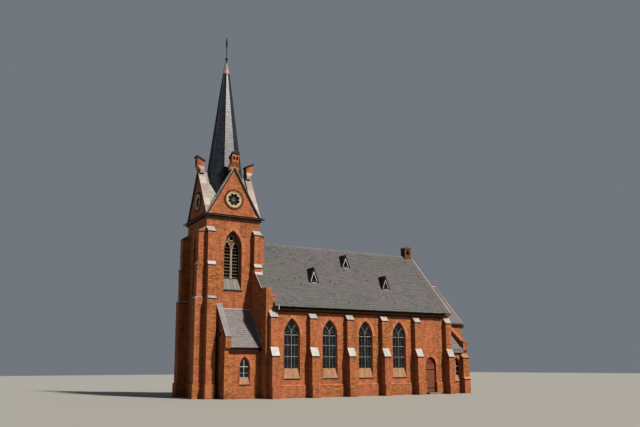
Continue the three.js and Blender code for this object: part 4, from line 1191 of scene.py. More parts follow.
@dataclass
class TowerBody:
    """Caps of the angle buttresses, the cornice's rolls and the corbels under it."""

    half: float = 2.0
    stages: Stages = ((0.70, 6.71, 6.85), (0.50, 9.04, 9.28), (0.40, 11.40, 11.75))
    west_stages: Stages = ((0.72, 6.71, 6.85), (0.62, 9.04, 9.28), (0.55, 11.40, 11.75))
    pier: Span = (1.46, 2.0)
    corbels: int = 13

    def build(self) -> None:
        """Makes the pieces of the tower's walls."""
        caps = Shape()
        nosings = Shape()
        for side in Side:
            stages = self.west_stages if side is Side.WEST else self.stages
            reach, low, _ = stages[0]
            depth = (-self.half - reach, -self.half)
            for across in (self.pier, (-self.pier[1], -self.pier[0])):
                cap, nosing = stepped_caps(across, -self.half, stages)
                for edge in widened(across, 0.015):
                    cap.block(about(edge, 0.03), depth, (low - 0.01, low + 0.11))
                    nosing.block(about(edge, 0.03), depth, (low - 0.075, low - 0.01))
                caps.join(cap.placed(side.turn()))
                nosings.join(nosing.placed(side.turn()))
        lay_piece("tower_buttress_caps", caps, "zinc", bevel=0.005)
        lay_piece("tower_buttress_nosings", nosings, "dark_lead")
        rolls = Shape()
        for reach, height, radius in ((2.12, 12.46, 0.034), (2.150, 12.69, 0.030)):
            rolls.tube([(-reach, -reach, height), (reach, -reach, height)], radius, 10)
        # The rolls are laid near-black: painted shade along the cornice.
        lay_piece("tower_cornice_rolls", rolls.each_side(), "painted_shade_black")
        band = Shape().block((-1.94, 1.94), (-2.02, -1.98), (12.30, 12.38))
        for i in range(self.corbels):
            band.block(about(-1.86 + 3.72 * i / (self.corbels - 1), 0.06), (-2.055, -1.98), (12.33, 12.42))
        lay_piece("tower_corbels", band.each_side(), "rubbed_brick", bevel=0.004)


@dataclass
class TowerGable:
    """One of the four gables: copings, rose, pinnacle cap and niches, built for the south side."""

    foot: float = 12.72
    slope: float = 1.775
    half: float = 2.0
    rose: float = 13.90
    front: float = -2.0
    pinnacle: Span = (-2.19, -1.66)
    pinnacle_half: float = 0.25
    pinnacle_top: float = 17.25
    stones: int = 6
    bricks: int = 52
    lobes: int = 8

    def verge(self, reach: Span, lift: Span) -> Outline:
        """Draws a strip along a verge, between two distances from the middle and two lifts."""
        corners = [(reach[0], lift[0]), (reach[1], lift[0]), (reach[1], lift[1]), (reach[0], lift[1])]
        return [(u, self.foot + self.slope * (self.half - abs(u)) + up) for u, up in corners]

    def copings(self) -> Shape:
        """Makes the coping stones of both verges."""
        shape = Shape()
        outer = 2.045
        for side in SIDES:
            for i in range(self.stones):
                a = side * (outer - outer * i / self.stones)
                b = side * (outer - outer * (i + 0.985) / self.stones)
                shape.prism(Axis.Y, self.verge((a, b), (0.035, 0.138)), (self.front - 0.085, -1.585))
        return shape

    def coping_painted_shadow(self) -> Shape:
        """Makes the dark strip under the copings: painted shadow of their overhang."""
        shape = Shape()
        for side in SIDES:
            strip = self.verge((side * self.half, 0.0), (-0.16, 0.035))
            shape.prism(Axis.Y, strip, (self.front - 0.076, self.front + 0.02))
        return shape

    def rose_stone(self) -> Shape:
        """Makes the stone ring with scallops round the rose."""
        inner = ring_outline(self.rose, 96, lambda a: 0.32 + 0.13 * abs(math.sin(self.lobes * a / 2)) ** 0.6)
        outer = circle_outline(0, self.rose, 0.585, 48)
        shape = Shape().plate(Axis.Y, outer, [inner], (self.front - 0.012, -1.86))
        shape.rim(outer, self.front - 0.02, 0.03)
        middle = ring_outline(self.rose, 64, lambda a: 0.06 + 0.06 * abs(math.cos(2 * a)) ** 0.8)
        return shape.rim(middle, -1.905, 0.02)

    def rose_ring(self) -> Shape:
        """Makes the ring of bricks on end round the rose."""
        shape = Shape()
        for i in range(self.bricks):
            a, b = (2 * math.pi * (i + share) / self.bricks for share in (0.06, 0.94))
            wedge = [polar(t, r, 0, self.rose) for r, t in ((0.60, a), (0.735, a), (0.735, b), (0.60, b))]
            shape.prism(Axis.Y, wedge, (self.front - 0.042, self.front + 0.02))
        return shape

    def pinnacle_cap(self) -> Shape:
        """Makes the dark sloping cap of the pinnacle and the roll on its edge."""
        front, back = widened(self.pinnacle, 0.055)
        top = self.pinnacle_top
        reach = self.pinnacle_half + 0.055
        section = [(front, top - 0.01), (front, top + 0.115), (back, top - 0.185), (back, top - 0.315)]
        cap = Shape().prism(Axis.X, section, (-reach, reach))
        return cap.tube([(-reach, front + 0.02, top), (reach, front + 0.02, top)], 0.024)

    def pinnacle_bands(self) -> Shape:
        """Makes the stone corbel under the pinnacle and the band over it."""
        front, back = self.pinnacle[0] - 0.008, self.pinnacle[1] + 0.006
        half = self.pinnacle_half + 0.008
        levels = []
        for reach, y, z in ((0.35, self.front - 0.012, 16.325), (half, front, 16.60)):
            levels.append([(-reach, y, z), (reach, y, z), (reach, back, z), (-reach, back, z)])
        shape = Shape().loft(*levels)
        return shape.block((-half - 0.01, half + 0.01), (front - 0.01, back), (16.60, 16.63))

    def pinnacle_flanks(self) -> Shape:
        """Makes the pale stone that runs up the foot of the pinnacle on both flanks."""
        back = self.pinnacle[1]
        front = self.front + 0.03
        stages = ((16.06, 0.342, front), (16.33, 0.352, front), (16.585, 0.27, self.pinnacle[0] + 0.03))
        shape = Shape()
        for side in SIDES:
            levels = []
            for z, half, y in stages:
                inner, outer = side * (half - 0.03), side * (half + 0.012)
                levels.append([(inner, y, z), (outer, y, z), (outer, back, z), (inner, back, z)])
            shape.loft(levels[0], levels[1])
            shape.loft(levels[1], levels[2])
        return shape

    def niches(self) -> Shape:
        """Makes the dark backs of the pinnacle's two niches: painted shade in their hollows."""
        back = self.pinnacle[0] + 0.12
        shape = Shape()
        for middle in (-0.115, 0.115):
            shape.prism(Axis.Y, pointed_outline(middle, 0.138, 16.785, 16.95, 17.048, 6), (back - 0.015, back))
        return shape

    def build(self) -> None:
        """Makes the pieces of all four gables."""
        glass = Shape().prism(Axis.Y, circle_outline(0, self.rose, 0.46, 32), (-1.895, -1.88))
        for name, shape, finish, bevel in (
                ("gable_copings", self.copings(), "verge_stone", 0.008),
                ("gable_coping_painted_shadows", self.coping_painted_shadow(), "dark_lead", 0.0),
                ("gable_rose_stones", self.rose_stone(), "cream_stone", 0.0),
                # The ring round the rose is laid in painted-shade brick.
                ("gable_rose_bricks", self.rose_ring(), "wall_brick_painted_shade", 0.004),
                ("gable_rose_glass", glass, "church_glass", 0.0),
                ("pinnacle_caps", self.pinnacle_cap(), "dark_lead", 0.008),
                ("pinnacle_bands", self.pinnacle_bands(), "rubbed_brick", 0.006),
                ("pinnacle_flanks", self.pinnacle_flanks(), "verge_stone", 0.0),
                ("pinnacle_niche_painted_shades", self.niches(), "painted_shade_black", 0.0)):
            lay_piece(name, shape.each_side(), finish, bevel=bevel)


@dataclass
class CrossingRoof:
    """The slated roof between the gables, pale with painted sheen."""

    ridge: float = 16.15
    slope: float = 1.775
    reach: float = 1.6
    spire: float = 0.85

    def build(self) -> None:
        """Lays its slates, ridge rolls and valleys."""
        slates = Shape()
        low, high = (self.ridge - self.slope * reach for reach in (self.reach, self.spire))
        for side in SIDES:
            corners = [(side * self.reach, -self.reach, low), (0, -self.reach, self.ridge), (0, 0, self.ridge)]
            field = SlateField(corners, (0, 1, 0), width=0.26, gauge=0.19, seed=20 + side)
            slates.join(field.build(lambda p: math.hypot(p.x, p.y) > self.spire))
        lay_piece("crossing_roof_slates", slates.each_side(), "pale_slate")
        leads = Shape().tube([(0, -self.reach, self.ridge + 0.01), (0, -0.9, self.ridge + 0.01)], 0.05, 8)
        for side in SIDES:
            ends = [[(side * far, -far, z + 0.02), (side * far, -near, z + 0.035), (side * near, -far, z + 0.035)]
                    for far, near, z in ((self.reach, 1.48, low), (self.spire, 0.73, high))]
            leads.loft(*ends)
        lay_piece("crossing_roof_leads", leads.each_side(), "lead")


@dataclass
class Spire:
    """The slated spire with its hip rolls, lead cap, ball and rod."""

    tip: float = 25.85
    slope: float = 0.13
    foot: float = 13.5
    shown: float = 13.9
    top: float = 24.14
    sides: int = 8

    def corner(self, index: int, height: float, grow: float = 0.0) -> Vector:
        """Gives a corner of the spire at a height, standing out from the solid by grow."""
        radius = self.slope * (self.tip - height) + grow
        return Vector((*polar(math.pi / 8 + index * math.pi / 4, radius), height))

    def cap(self) -> Shape:
        """Makes the lead cap with its rolls and collar."""
        profile = [(0.262, 0.0), (0.262, 0.05), (0.236, 0.07), (0.108, 0.86), (0.125, 0.88),
                   (0.125, 0.93), (0.09, 0.96)]
        shape = Shape().turned(profile, (0, 0, self.top), 8, math.pi / 8)
        for i in range(self.sides):
            angle = math.pi / 8 + i * math.pi / 4
            shape.tube([(*polar(angle, r), self.top + z) for r, z in ((0.24, 0.06), (0.112, 0.86))], 0.014)
        return shape

    def finial(self) -> Shape:
        """Makes the ball, the rod and its spindle."""
        size = 0.10
        angles = [math.pi * i / 10 for i in range(1, 10)]
        ball = [(size * math.sin(a), size - size * math.cos(a)) for a in angles]
        shape = Shape().turned([(0.05, -0.24), (0.04, -0.02), *ball, (0.04, 0.22)], (0, 0, 25.32), 16)
        rod = [(0.035, 25.50), (0.028, 25.62), (0.026, 26.30), (0.05, 26.42), (0.064, 26.66), (0.060, 26.92),
               (0.044, 27.12), (0.018, 27.2)]
        return shape.turned(rod, (0, 0, 0), 10)

    def build(self) -> None:
        """Makes the spire's pieces."""
        slates = Shape()
        hips = Shape()
        for i in range(self.sides):
            low = [self.corner(i, self.foot), self.corner(i + 1, self.foot)]
            high = [self.corner(i + 1, self.top), self.corner(i, self.top)]
            field = SlateField([*low, *high], low[1] - low[0], width=0.21, gauge=0.20, tail=0.012, seed=40 + i)
            slates.join(field.build(lambda p: p.z > self.shown))
            hips.tube([self.corner(i, self.shown, 0.012), self.corner(i, self.top + 0.02, 0.012)], 0.026)
        lay_piece("spire_slates", slates, "spire_slate")
        lay_piece("spire_hip_rolls", hips, "dark_lead")
        lay_piece("spire_cap", self.cap(), "cap_lead", replaces=["spire_finial"])
        lay_piece("spire_ball_and_rod", self.finial(), "gutter_iron")


@dataclass
class WestPortal:
    """The west doorway: arch rings, boards, straps and a ring, built on a south face."""

    width: float = 1.5
    spring: float = 2.3
    apex: float = 3.3
    foot: float = 0.165
    leaf: Span = (-1.70, -1.63)
    boards: int = 12

    def head(self, outline: Outline, u: float) -> float:
        """Finds the height of an outline's head over a point, or of its spring beside it."""
        span = span_at([(v, w) for w, v in outline], u)
        return span[1] if span else self.spring

    def doors(self) -> Shape:
        """Makes the boards of both leaves, cut to the arch."""
        shape = Shape()
        outline = pointed_outline(0, self.width, self.foot, self.spring, 3.19)
        for i in range(self.boards):
            left = -0.74 + 1.48 * i / self.boards + 0.004
            right = left + 1.48 / self.boards - 0.008
            board = [(left, self.foot), (right, self.foot), (right, self.head(outline, right)),
                     (left, self.head(outline, left))]
            shape.prism(Axis.Y, board, (self.leaf[0] - 0.018, self.leaf[0] + 0.01))
        return shape

    def build(self) -> None:
        """Makes the portal's pieces."""
        west = Side.WEST.turn()
        rings = Shape()
        for grow in (0.0, 0.25):
            rings.join(ArchRing(0, self.width + 2 * grow, self.spring, self.apex + grow * 1.12, -2.0,
                                proud=0.006 + grow * 0.02).build())
        lay_piece("west_portal_arches", rings.placed(west), "rubbed_brick")
        lay_piece("west_door_boards", self.doors().placed(west), "oak", bevel=0.003)
        straps = Shape()
        front = self.leaf[0] - 0.03
        for height in (0.6, 1.35, 2.1):
            for side in SIDES:
                straps.block(tuple(sorted((side * 0.08, side * 0.72))), (front, front + 0.02), about(height, 0.03))
        ring = [polar(a * math.pi / 8, 0.06, 0.07, 1.15) for a in range(17)]
        straps.tube([(u, front - 0.01, v) for u, v in ring], 0.009)
        straps.block((-0.012, 0.012), (front, front + 0.02), (0.17, 3.1))
        lay_piece("west_door_ironwork", straps.placed(west), "gutter_iron", bevel=0.003)


@dataclass
class NaveWindow:
    """One nave window: glass, mullion and forked tracery, bars, brick sill and arch ring."""

    centre: float
    face: float = -4.57
    width: float = 1.213
    sill: float = 1.305
    spring: float = 4.29
    apex: float = 5.39
    plane: float = -4.405
    fork: float = 4.62

    def glass(self) -> Shape:
        """Makes the leaded sheet in front of the stone plate."""
        outline = pointed_outline(self.centre, 1.052, 1.73, self.spring, 5.265)
        return Shape().prism(Axis.Y, outline, (self.plane - 0.006, self.plane + 0.003))

    def tracery(self) -> Shape:
        """Makes the mullion, the two branches of its fork and the cusped arches beside it."""
        front, back = self.plane - 0.06, self.plane - 0.02
        slim, broad = about(self.centre, 0.026), about(self.centre, 0.045)
        section = [(slim[0], front), (slim[1], front), (broad[1], back), (broad[1], self.plane),
                   (broad[0], self.plane), (broad[0], back)]
        shape = Shape().prism(Axis.Z, section, (1.95, self.fork))
        branch = [(0.02 + 0.36 * t ** 1.25, self.fork - 0.12 + 0.50 * t) for t in (i / 8 for i in range(9))]
        angles = [math.pi * i / 10 for i in range(11)]
        for side in SIDES:
            shape.tube([(self.centre + side * u, self.plane - 0.03, v) for u, v in branch], 0.032)
            middle = self.centre + side * 0.235
            head = [(middle + 0.21 * math.cos(a), 4.24 + 0.27 * math.sin(a)) for a in angles]
            shape.tube([(u, self.plane - 0.025, v) for u, v in head], 0.014)
        return shape

    def bars(self) -> Shape:
        """Makes the level bars and the upright wires of the glazing."""
        shape = Shape()
        front = self.plane - 0.028
        for height, thick in ((4.24, 0.03), (3.555, 0.024), (2.77, 0.024)):
            shape.block(about(self.centre, 0.515), (front, front + 0.018), about(height, thick / 2))
        for side in SIDES:
            shape.block(about(self.centre + side * 0.26, 0.004), (front + 0.004, front + 0.016), (2.0, 4.3))
        return shape

    def parts(self) -> dict[str, Shape]:
        """Makes the window's parts, by name."""
        sill = BrickSill(self.centre, self.width - 0.01, 0.985, (self.face - 0.012, self.sill - 0.01),
                         (self.plane - 0.012, 1.985))
        ring = ArchRing(self.centre, self.width, self.spring, self.apex, self.face, rise=0.235)
        return {"glass": self.glass(), "tracery": self.tracery(), "bars": self.bars(), "sills": sill.build(),
                "drips": sill.drip(), "arches": ring.build()}


@dataclass
class Nave:
    """The nave's walls: windows, buttress caps, plinth course, eave course and gutters."""

    half: float = 4.57
    bay: float = 3.0
    first: float = 1.88
    buttress: float = 0.537
    stages: Stages = ((0.627, 2.80, 3.39), (0.347, 5.40, 5.86))
    west: float = 2.16
    east: float = 16.59
    eave_reach: float = 4.889
    eave: float = 6.18
    dentils: int = 96
    brackets: int = 17

    def windows(self, count: int) -> dict[str, Shape]:
        """Makes the windows of one side, by part."""
        return gather(NaveWindow(self.first + self.bay * (i + 0.5)).parts() for i in range(count))

    def walls(self) -> None:
        """Makes the caps, plinth course and eave course of both sides."""
        caps = Shape()
        nosings = Shape()
        for i in range(6):
            cap, nosing = stepped_caps(about(self.first + self.bay * i, self.buttress / 2), -self.half, self.stages)
            caps.join(cap)
            nosings.join(nosing)
        lay_piece("nave_buttress_caps", caps.both_sides(), "zinc", bevel=0.005)
        lay_piece("nave_buttress_nosings", nosings.both_sides(), "dark_lead")
        course = Shape()
        for span in ((self.west, 14.83), (15.81, self.east)):
            course.prism(Axis.X, [(-4.66, 0.795), (-4.66, 0.812), (-4.566, 0.895), (-4.566, 0.8)], span)
        dentils = Shape()
        for i in range(self.dentils):
            x = self.west + 0.05 + (self.east - 0.04 - self.west) * i / self.dentils
            dentils.block((x, x + 0.075), (-4.668, -4.60), (5.80, 5.885))
        lay_piece("nave_plinth_course", course.both_sides(), "wall_brick")
        # The dentils are laid in painted-shade brick, for the shade under the eave.
        lay_piece("nave_dentils", dentils.both_sides(), "wall_brick_painted_shade")

    def gutters(self) -> None:
        """Makes the gutters with their brackets and fascias."""
        y = -self.eave_reach - 0.055
        z = self.eave - 0.06
        shape = Shape().prism(Axis.X, half_round(y, z, 0.075, 0.06), (2.20, self.east))
        stop = Shape().block((2.15, 2.195), (y - 0.08, y + 0.06), (z - 0.24, z + 0.09))
        lay_piece("nave_gutter_ends", stop.both_sides(), "white_paint", bevel=0.006)
        for i in range(self.brackets):
            span = about(2.5 + 0.86 * i, 0.012)
            shape.block(span, (y - 0.08, -4.66), (z - 0.095, z - 0.07))
            shape.block(span, (y - 0.082, y - 0.07), (z - 0.09, z + 0.01))
        fascia = Shape().block((2.0, self.east), (-4.90, -4.885), (5.98, 6.17))
        lay_piece("nave_gutters", shape.both_sides(), "gutter_iron")
        lay_piece("nave_fascias", fascia.both_sides(), "gutter_iron")

    def build(self) -> None:
        """Makes the nave's pieces."""
        lay_parts("nave_window_{}_south", self.windows(4))
        lay_parts("nave_window_{}_north", {part: shape.mirrored() for part, shape in self.windows(5).items()})
        self.walls()
        self.gutters()


@dataclass
class Dormer:
    """A small triangular dormer on the south slope."""

    left: float
    right: float
    sill: float
    apex: float
    roof: "NaveRoof"
    slats: int = 5

    @property
    def middle(self) -> float:
        """Gives the x of its middle."""
        return (self.left + self.right) / 2

    @property
    def front(self) -> float:
        """Gives the y of its front."""
        return self.roof.y_at(self.sill) - 0.04

    def half_at(self, height: float) -> float:
        """Gives half its width at a height."""
        return (self.right - self.left) / 2 * (1 - (height - self.sill) / (self.apex - self.sill))

    def covers(self, point: Vector) -> bool:
        """Says whether a point of the roof lies under the dormer."""
        inside = self.sill - 0.02 < point.z < self.apex
        return inside and abs(point.x - self.middle) < self.half_at(point.z) + 0.02

    def chevron(self, out: float, thick: float, depth: Span) -> Shape:
        """Makes two sloping bars that meet over the front.

        Args:
            out: How far their outer edge lies inside the dormer's outline.
            thick: Their width.
            depth: Where they start and end, from the dormer's front.

        Returns:
            The bars.
        """
        steep = (self.apex - self.sill) / (self.middle - self.left)
        foot = self.sill - 0.01
        shape = Shape()
        for side in SIDES:
            tops = [self.apex - inset * math.hypot(1.0, steep) for inset in (out, out + thick)]
            feet = [(self.middle + side * (top - foot) / steep, foot) for top in tops]
            quad = [feet[0], (self.middle, tops[0]), (self.middle, tops[1]), feet[1]]
            shape.prism(Axis.Y, quad, (self.front + depth[0], self.front + depth[1]))
        return shape

    def cheeks(self) -> Shape:
        """Makes the two dark sheets of its roof and the dark edge of its front."""
        shape = self.chevron(-0.02, 0.115, (-0.07, 0.005))
        front, low, high = self.front - 0.06, self.sill - 0.02, self.apex + 0.03
        backs = (self.roof.y_at(self.apex) + 0.03, self.roof.y_at(self.sill) + 0.02)
        for side, edge in ((-1, self.left), (1, self.right)):
            x = edge + side * 0.03
            face = [(x, front, low), (self.middle, front, high), (self.middle, backs[0], high), (x, backs[1], low)]
            shape.loft(face, [(x, y, z - 0.035) for x, y, z in face])
        return shape

    def inside(self) -> Shape:
        """Makes the dark boards inside the opening and the dark sill under it, near-black as painted shade inside
        the opening.
        """
        front = self.front
        shape = Shape()
        for i in range(self.slats):
            z = self.sill + 0.13 + (self.apex - self.sill - 0.45) * i / self.slats
            half = self.half_at(z + 0.06) - 0.08
            if half > 0.05:
                section = [(front + 0.02, z), (front + 0.02, z + 0.02), (front + 0.11, z + 0.10),
                           (front + 0.11, z + 0.08)]
                shape.prism(Axis.X, section, about(self.middle, half))
        return shape.block((self.left + 0.1, self.right - 0.1), (front - 0.03, front + 0.01),
                           (self.sill - 0.03, self.sill + 0.12))

    def apron(self) -> Shape:
        """Makes the lead apron on the slates below it."""
        low, high = self.sill - 0.20, self.sill + 0.01
        places = ((self.left + 0.22, low), (self.right - 0.16, low), (self.right - 0.10, high),
                  (self.left + 0.16, high))
        points = [Vector((x, self.roof.y_at(z), z)) for x, z in places]
        return Shape().loft([p + Vector((0, -0.02, 0.02)) for p in points], points)

    def parts(self) -> dict[str, Shape]:
        """Makes the dormer's parts, by name, with the pale boards of its front."""
        return {"roofs": self.cheeks(), "boards": self.chevron(0.092, 0.042, (-0.075, 0.005)),
                "slats": self.inside(), "aprons": self.apron()}


@dataclass
class NaveRoof:
    """The nave's slates, ridge, hooks and dormers."""

    ridge: float = 11.34
    eave: float = 6.18
    reach: float = 4.889
    west: float = 1.97
    east: float = 16.59
    tower: float = 2.0
    dormers: tuple[tuple[float, ...], ...] = ((5.56, 6.31, 8.23, 9.27), (9.20, 9.95, 9.77, 10.70),
                                              (11.80, 12.55, 8.03, 9.00))
    ridge_tiles: int = 42
    hooks: int = 26

    @property
    def pitch(self) -> float:
        """Gives the slope's rise over its run."""
        return (self.ridge - self.eave) / self.reach

    def y_at(self, height: float) -> float:
        """Gives the y of the south slope at a height."""
        return -(self.ridge - height) / self.pitch

    def slope_point(self, x: float, reach: float, lift: float = 0.0) -> Vector:
        """Gives a point of the south slope, so far from the ridge, raised by a lift."""
        return Vector((x, -reach, self.ridge - self.pitch * reach + lift))

    def slates(self, x: Span, reach: Span, lift: Span, seed: int) -> SlateField:
        """Marks out slates on the south slope.

        Args:
            x: Lowest and highest x.
            reach: Distance from the ridge of the foot and of the head.
            lift: Height over the slope at the lowest and at the highest x.
            seed: Start of the small differences between slates.

        Returns:
            The field of slates.
        """
        order = ((0, 0), (1, 0), (1, 1), (0, 1))
        corners = [self.slope_point(x[i], reach[k], lift[i]) for i, k in order]
        return SlateField(corners, (1, 0, 0), width=0.30, gauge=0.215, tail=0.018, seed=seed)

    def strip(self, x: Span, reach: Span, lift: Span) -> Shape:
        """Makes a flat strip that runs down the slope.

        Args:
            x: Its lowest and highest x.
            reach: Where it ends and starts, as distances from the ridge.
            lift: Height of its underside and of its top over the slope.

        Returns:
            The strip.
        """
        corners = [(x[0], reach[0]), (x[1], reach[0]), (x[1], reach[1]), (x[0], reach[1])]
        return Shape().loft(*([self.slope_point(u, v, h) for u, v in corners] for h in lift))

    def verges(self) -> None:
        """Makes the slates over the gable walls, their mortar lines and dark edges."""
        top, foot = 2.52, 3.84
        bell = self.reach + 0.04
        slates = self.slates((1.405, 1.97), (foot, top), (0.002, 0.002), 7).build()
        level = self.slates((self.east, 17.12), (bell, 0.0), (0.03, 0.03), 8)
        slates.join(level.build(lambda p: p.y < -0.30 or p.x > 16.98))
        rising = self.slates((self.east - 0.39, self.east + 0.02), (bell, 0.0), (0.012, 0.034), 9)
        slates.join(rising.build(lambda p: p.y < -0.30 or p.x < 16.3))
        lay_piece("nave_verge_slates", slates.both_sides(), "nave_slate")
        mortar = self.strip((1.42, 1.455), (top, foot), (0.0, 0.04))
        mortar.join(self.strip((17.085, 17.155), (0.30, bell), (0.02, 0.075)))
        mortar.join(self.strip((1.44, 2.02), (top, 2.70), (0.0, 0.05)))
        lay_piece("nave_verge_mortar", mortar.both_sides(), "verge_stone", bevel=0.004)
        edges = self.strip((1.385, 1.415), (top, foot), (-0.10, 0.03))
        edges.join(self.strip((17.13, 17.165), (0.30, bell), (-0.08, 0.02)))
        lay_piece("nave_verge_edges", edges.both_sides(), "dark_lead")

    def ridge_line(self) -> Shape:
        """Makes the ridge tiles, with a raised one beside the bellcote."""
        top, low = self.ridge + 0.035, self.ridge - 0.15
        outline = [(-0.17, low), (-0.03, top), (0.03, top), (0.17, low), (0.15, self.ridge - 0.19),
                   (0, self.ridge - 0.02), (-0.15, self.ridge - 0.19)]
        step = (self.east - self.tower) / self.ridge_tiles
        shape = Shape()
        for i in range(self.ridge_tiles):
            x = self.tower + step * i
            shape.prism(Axis.X, outline, (x + 0.004, x + step - 0.004))
        return shape.prism(Axis.X, [(y, z + 0.03) for y, z in outline], (16.95, 17.13))

    def build(self) -> None:
        """Makes the roof's pieces."""
        dormers = [Dormer(*place, self) for place in self.dormers]
        self.verges()

        def keep(point: Vector) -> bool:
            """Leaves out slates under a dormer."""
            return not any(d.covers(point) for d in dormers)

        field = self.slates((self.west, self.east - 0.38), (self.reach + 0.045, 0.0), (0.0, 0.0), 5)
        lay_piece("nave_slates_south", field.build(keep), "nave_slate")
        field.seed = 6
        lay_piece("nave_slates_north", field.build(keep).mirrored(), "nave_slate")
        lay_piece("nave_ridge_tiles", self.ridge_line(), "nave_slate", bevel=0.004)
        lay_piece("nave_roof_flashings", self.strip((2.0, 2.10), (0.2, 2.5), (0.0, 0.04)).both_sides(), "lead")
        hooks = Shape()
        rng = random.Random(12)
        for _ in range(self.hooks):
            x = rng.uniform(3.0, 16.2)
            z = rng.uniform(6.6, 11.0)
            y = self.y_at(z)
            if keep(Vector((x, y, z))):
                path = ((0.0, 0.02), (-0.05, 0.03), (-0.14, -0.09), (-0.16, -0.05))
                hooks.tube([(x, y + out, z + up) for out, up in path], 0.011)
        lay_piece("nave_snow_hooks", hooks.both_sides(), "gutter_iron")
        parts = gather(dormer.parts() for dormer in dormers)
        lay_parts("dormer_{}", {part: shape.both_sides() for part, shape in parts.items()})


@dataclass
class EastGable:
    """The bell, leads and brick skin of the bellcote on the nave's east gable."""

    x: Span = (16.33, 16.93)
    half: float = 0.26
    arch: float = 0.30
    arch_sill: float = 11.48
    spring: float = 11.73
    apex: float = 11.90
    top: float = 12.0

    def leads(self, middle: float, reach: float) -> Shape:
        """Makes the cap's edges, ridge roll and sheet, about a middle and out to a reach."""
        cap = Shape()
        for x in (self.x[0] - 0.06, self.x[1]):
            cap.block((x, x + 0.06), (-reach, reach), (self.top, self.top + 0.065))
        cap.tube([(middle, -reach, 12.205), (middle, reach, 12.205)], 0.024, 8)
        west, east = about(middle, 0.36)
        sheet = [(west, 12.055), (middle, 12.192), (east, 12.055), (east, 12.078), (middle, 12.216),
                 (west, 12.078)]
        return cap.prism(Axis.Y, sheet, (-reach - 0.01, reach + 0.01))

    def skin(self, middle: float, reach: float) -> Shape:
        """Makes the thin brick faces with the arch and the heads of the gablets over them."""
        left, right = widened(self.x, 0.008)
        edge = [(left, 11.02), (right, 11.02), (right, self.top), (left, self.top)]
        opening = pointed_outline(middle, self.arch, self.arch_sill, self.spring, self.apex)
        skin = Shape().plate(Axis.Y, edge, [opening], (-self.half - 0.010, -self.half + 0.002))
        west, east = about(middle, 0.35)
        head = [(west, 12.01), (east, 12.01), (east, 12.06), (middle, 12.19), (west, 12.06)]
        skin.prism(Axis.Y, head, (-reach - 0.002, -reach + 0.008))
        skin.both_sides()
        for x in (left, right - 0.010):
            skin.block((x, x + 0.010), (-self.half - 0.010, self.half + 0.010), (11.05, self.top))
        return skin

    def build(self) -> None:
        """Makes the bellcote's pieces."""
        middle = (self.x[0] + self.x[1]) / 2
        reach = self.half + 0.055
        bell = Shape().turned([(0.11, 0.0), (0.10, 0.02), (0.07, 0.09), (0.055, 0.15), (0.025, 0.19)],
                              (middle, 0, 11.54), 16)
        bell.tube([(middle - 0.14, 0, 11.76), (middle + 0.14, 0, 11.76)], 0.016)
        lay_piece("bellcote_bell", bell, "gutter_iron")
        lay_piece("bellcote_leads", self.leads(middle, reach), "dull_zinc")
        ring = ArchRing(middle, self.arch, self.spring, self.apex, -self.half - 0.008, rise=0.08, pitch=0.05)
        lay_piece("bellcote_arches", ring.build().both_sides(), "bell_brick")
        lay_piece("bellcote_brick", self.skin(middle, reach), "bell_brick")


@dataclass
class SouthDoor:
    """The hinged side door's boards and ironwork, and the arch ring over it."""

    west: float = 14.885
    east: float = 15.755
    bottom: float = 0.158
    top: float = 2.252
    front: float = -4.42
    boards: int = 7

    def ironwork(self) -> Shape:
        """Makes the straps with their pointed ends and studs, the ring and its plate."""
        iron = Shape()
        face = self.front - 0.018
        depth = (face, face + 0.01)
        for height in (0.45, 1.85):
            iron.block((self.west + 0.12, self.east - 0.01), depth, about(height, 0.028))
            point = [(0.04, 0.0), (0.10, -0.045), (0.16, 0.0), (0.10, 0.045)]
            iron.prism(Axis.Y, [(self.west + u, height + v) for u, v in point], depth)
            for i in range(5):
                x = self.west + 0.2 + 0.14 * i
                iron.turned([(0.014, -0.004), (0.011, 0.004)], (x, face - 0.001, height), 8)
        middle = self.west + 0.09
        angles = [a * math.pi / 8 for a in range(17)]
        ring = [(middle + 0.045 * math.sin(a), face - 0.014, 1.05 + 0.045 * math.cos(a)) for a in angles]
        iron.tube(ring, 0.007)
        return iron.block((self.west + 0.065, self.west + 0.115), depth, (1.02, 1.16))

    def build(self) -> None:
        """Makes the pieces that ride on the door, and the ring round it."""
        boards = Shape()
        step = (self.east - self.west) / self.boards
        for i in range(self.boards):
            left = self.west + step * i + 0.003
            boards.block((left, left + step - 0.006), (self.front - 0.010, self.front + 0.008),
                         (self.bottom + 0.004, self.top - 0.004))
        lay_piece("south_door_boards", boards, "oak", body="side_door", bevel=0.003)
        lay_piece("south_door_ironwork", self.ironwork(), "gutter_iron", body="side_door", bevel=0.002)
        arch = ArchRing(15.32, 0.98, 2.262, 2.80, -4.57, rise=0.235)
        lay_piece("south_door_arch", arch.build(), "rubbed_brick")


@dataclass
class LancetWindow:
    """One small pointed window of an annex or the sacristy."""

    centre: float
    face: float
    width: float = 0.755
    sill: float = 0.94
    spring: float = 2.15
    apex: float = 2.78

    def parts(self) -> dict[str, Shape]:
        """Makes its frame, bars, sill, drip and arch ring, by name."""
        plane = self.face + 0.17
        frame = Shape().rim(pointed_outline(self.centre, 0.60, 1.22, self.spring, 2.64), plane, 0.03)
        bars = Shape().block(about(self.centre, 0.02), (plane - 0.02, plane + 0.015), (1.2, 2.58))
        for height, thick in ((2.10, 0.05), (1.68, 0.02)):
            bars.block(about(self.centre, 0.29), (plane - 0.024, plane + 0.012), about(height, thick / 2))
        sill = BrickSill(self.centre, self.width - 0.01, 0.60, (self.face - 0.012, self.sill - 0.008),
                         (plane - 0.03, 1.42))
        ring = ArchRing(self.centre, self.width, self.spring, self.apex, self.face, rise=0.22)
        return {"frames": frame, "bars": bars, "sills": sill.build(), "drips": sill.drip(), "arches": ring.build()}


